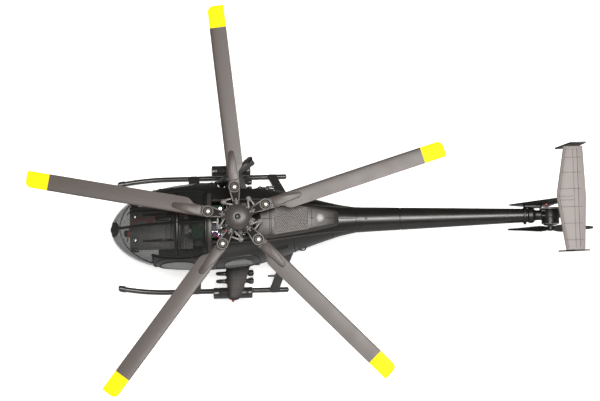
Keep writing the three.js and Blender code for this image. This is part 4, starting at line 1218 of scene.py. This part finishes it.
def stub_wing(fit):
    """A short wing with a collar at its root, rivets along its ribs and spars, and a lamp at its tip."""
    rings = []
    for y in (14.2, 18, 22, 24, 26, 30, 35, 40, 44, 46, 47.2, 48, 48.6, 49, 49.2):
        rounding = 1 if y < 46 else math.sqrt(max(0.06, 1 - ((y - 46) / 3.25) ** 2))
        rings.append(wing_ring(y, wing_lead(y), wing_trail(y), WING_HALF_THICK * rounding))
    spots = []
    for y in (28, 35, 42):
        x = wing_lead(y) + 1.4
        while x < wing_trail(y) - 1.0:
            spots.append((x, y))
            x += 1.5
    for k in range(14):
        y = 27 + 1.45 * k
        spots += [((wing_lead(y) + wing_trail(y)) / 2, y), (wing_lead(y) + 1.6, y)]
    tops = []
    for x, y in spots:
        f = (x - wing_lead(y)) / (wing_trail(y) - wing_lead(y))
        h = next(b + (d - b) * (f - a) / (c - a) for (a, b), (c, d) in zip(WING_SHAPE, WING_SHAPE[1:])
                if f <= c)
        tops.append(((x, y, WING_Z + WING_HALF_THICK * h), (0, 0, 1)))
    collar = loft([wing_ring(23.4, -16, 3.2, 1.95), wing_ring(25.6, -15.6, 2.8, 1.95)])
    fit("wing_panel", merge(loft(rings), collar), STORE, "shell", "stub_wing")
    fit("wing_rivets", rivets(tops, 0.28, 0.06), RIVET, "black_plastic")
    fit("wing_lamp", ball((-10.2, 49.5, WING_Z), 0.95), RED_LENS, "lens_white")


def rocket_pod(fit):
    """A tube with two bands and seven short barrels showing at each end."""
    centre = (0, POD_Y, POD_Z)
    shell = [(3.25, -24.2), (3.75, -24.2), (3.9, -24.0), (3.9, -20.8), (3.8, -20.6), (3.8, -20.0),
            (3.9, -19.8), (3.9, -1.6), (3.8, -1.4), (3.8, -0.9), (3.9, -0.7), (3.9, 2.6), (3.7, 3.0),
            (3.2, 3.0)]
    shell = turned(shell, "x", centre, 44)
    # The core's front and rear faces, sunk between the barrels, are painted near-black: painted shade in the
    # pod's mouths.
    core = rod("x", 3.3, -23.4, 2.2, centre, 36, 0.1)
    barrels = []
    for k in range(7):
        y, z = polar(0 if k == 6 else 2.1, 60 * k)
        for profile in ([(0.62, -23.0), (0.95, -23.0), (0.95, -24.0), (0.8, -24.1), (0.62, -24.0)],
                [(0.5, 2.0), (0.95, 2.0), (0.85, 2.9), (0.5, 2.7)]):
            barrels.append(turned(profile, "x", (0, POD_Y + y, POD_Z + z), 16, closed=True))
    pylon = prism([(-13, 20), (-5, 20), (-5.4, 22.7), (-12.6, 22.7)], 42.5, 44.3, "xz", 0.2)
    fit("pod_body", merge(shell, paint(core, 1), *barrels, pylon), [GEAR_BLACK, SEAM_AND_SHADE], "black_plastic",
            "rocket_pod")


def missiles(fit):
    """Two dummy missiles with crossed fins and canards, under one rack."""
    parts = [block(-13, -4, 28.6, 36.2, 19.6, 22.7, 0.5)]
    body = [(0, -22.6), (0.8, -22.4), (1.2, -21.6), (1.45, -20.0), (1.5, -17.5), (1.5, -13), (1.42, -12.8),
            (1.5, -12.6), (1.5, -1), (1.42, -0.8), (1.5, -0.6), (1.5, 3.6), (1.3, 4.2), (0.9, 4.2),
            (0.8, 3.4), (0, 3.4)]
    for y in (29.7, 35.1):
        parts.append(turned(body, "x", (0, y, MISSILE_Z), 24))
        for turn in (0, 90):
            matrix = shift(0, y, MISSILE_Z) @ spin(turn, "X")
            for half, thick, edge in (([(-0.6, 1.2), (1.4, 2.35), (3.9, 2.35)], 0.2, 0.08),
                    ([(-16.5, 1.2), (-15.2, 2.0), (-14.2, 2.0)], 0.16, 0.06)):
                parts.append(moved(prism(folded(half), -thick, thick, "xy", edge), matrix))
    fit("missile_pair", merge(*parts), GEAR_BLACK, "black_plastic", "missile_rack")


def undercarriage():
    """Everything below the cabin, drawn on the starboard side and mirrored for port."""
    for name, side in (("port", -1), ("starboard", 1)):
        def fit(title, part, finishes, slot, replaces=""):
            part = mirrored(part) if side < 0 else part
            piece(f"{title}_{name}", part, finishes, replaces=f"{replaces}_{name}" if replaces
                    else ())

        for make in (skid, legs, stub_wing, rocket_pod, missiles):
            make(fit)


# ---------------------------------------------------------------- the room, the lights and the camera


FLOOR_SIZE = 4
FLOOR_Z = -0.0005
SKY_PORT = 0.70
SKY_STARBOARD = 0.05
SKY_OVERHEAD = 0.2
SKY_BELOW = 1.0
SKY_SEEN = 0.95
FLOOR_GLOW = 0.6
LAMP_COLOUR = (1.0, 0.965, 0.94)


def stage():
    """A plain pale floor that reflections and bounced light do not see, and the lights."""
    bpy.ops.mesh.primitive_plane_add(size=FLOOR_SIZE, location=(0, 0, FLOOR_Z))
    floor = bpy.context.object
    floor.name = "studio_floor"
    paper = finish("studio_paper", (0.93, 0.93, 0.925), 0.75, vary=0.01, grain=8, bump=0.01)
    glow = paper.node_tree.nodes["Principled BSDF"]
    glow.inputs["Emission Color"].default_value = (1, 1, 1, 1)
    glow.inputs["Emission Strength"].default_value = FLOOR_GLOW
    floor.data.materials.append(paper)
    floor.visible_glossy = False
    floor.visible_diffuse = False

    sky()
    # Each lamp: where it is, what it points at, its width in metres and its power in watts.
    lamp("overhead_light", (0.12, -0.02, 1.5), (0.05, 0, 0.07), 0.6, 20.0)
    lamp("port_light", (-0.1, -1.5, 0.6), (0, 0, 0.05), 0.7, 1.5)
    lamp("rear_light", (0.55, 0.12, 1.4), (0.15, 0, 0.07), 0.45, 8.0)


def sky():
    """A studio that is bright to port and low down, dark overhead, and pale where it is seen directly."""
    world = bpy.data.worlds.new("studio")
    bpy.context.scene.world = world
    world.use_nodes = True
    tree = world.node_tree
    split = add(tree, "SeparateXYZ", [("Vector", add(tree, "TexCoord").outputs["Generated"])])

    def fade(axis, low, high, low_value, high_value):
        return add(tree, "MapRange", [("Value", split.outputs[axis])], From_Min=low, From_Max=high,
                To_Min=low_value, To_Max=high_value).outputs["Result"]

    def product(a, b):
        made = add(tree, "Math", [(0, a), (1, b)])
        made.operation = "MULTIPLY"
        return made.outputs["Value"]

    glow = product(fade("Y", -1.0, 1.0, SKY_PORT, SKY_STARBOARD), fade("Z", 0.0, 0.6, 1.0, SKY_OVERHEAD))
    glow = product(glow, fade("Z", -0.35, 0.05, SKY_BELOW, 1.0))
    seen = add(tree, "LightPath").outputs["Is Camera Ray"]
    chosen = add(tree, "Mix", [("Factor", seen), ("A", glow)], B=SKY_SEEN)
    background = tree.nodes["Background"]
    background.inputs["Color"].default_value = (1, 1, 1, 1)
    tree.links.new(chosen.outputs["Result"], background.inputs["Strength"])


def lamp(name, place, aim, size, power):
    data = bpy.data.lights.new(name, "AREA")
    data.shape = "DISK"
    data.size = size
    data.energy = power
    data.color = LAMP_COLOUR
    light = bpy.data.objects.new(name, data)
    bpy.context.scene.collection.objects.link(light)
    light.location = place
    light.rotation_mode = "QUATERNION"
    light.rotation_quaternion = (Vector(place) - Vector(aim)).to_track_quat("Z", "Y")


CAMERA_TURNS = (-7.2, -2.6, 1.2)                # degrees about x, y and z
HUB_FROM_CAMERA = (-41.3, -11.3, -1332.0)       # millimetres along the camera's own axes
SENSOR_WIDTH = 36
FOCAL_LENGTH = 120


def camera():
    """Almost straight above the rotor."""
    x, y, z = (Matrix.Rotation(math.radians(a), 3, axis) for a, axis in zip(CAMERA_TURNS, "XYZ"))
    turn = x @ y @ z
    place = at(0, 0, ROTOR_PLANE) - turn.transposed() @ (Vector(HUB_FROM_CAMERA) * MM)
    data = bpy.data.cameras.new("camera")
    data.sensor_width = SENSOR_WIDTH
    data.lens = FOCAL_LENGTH
    data.clip_start, data.clip_end = 0.05, 20
    view = bpy.data.objects.new("camera", data)
    bpy.context.scene.collection.objects.link(view)
    view.matrix_world = Matrix.Translation(place) @ turn.transposed().to_4x4()
    bpy.context.scene.camera = view


camera()
cabin()
canopy_frame()
shell_lines()
hardware()
doors()
fairing()
interior()
rotor()
boom()
tail_drive()
tail_surfaces()
undercarriage()
stage()

scene = bpy.context.scene
scene.view_settings.view_transform = "Standard"
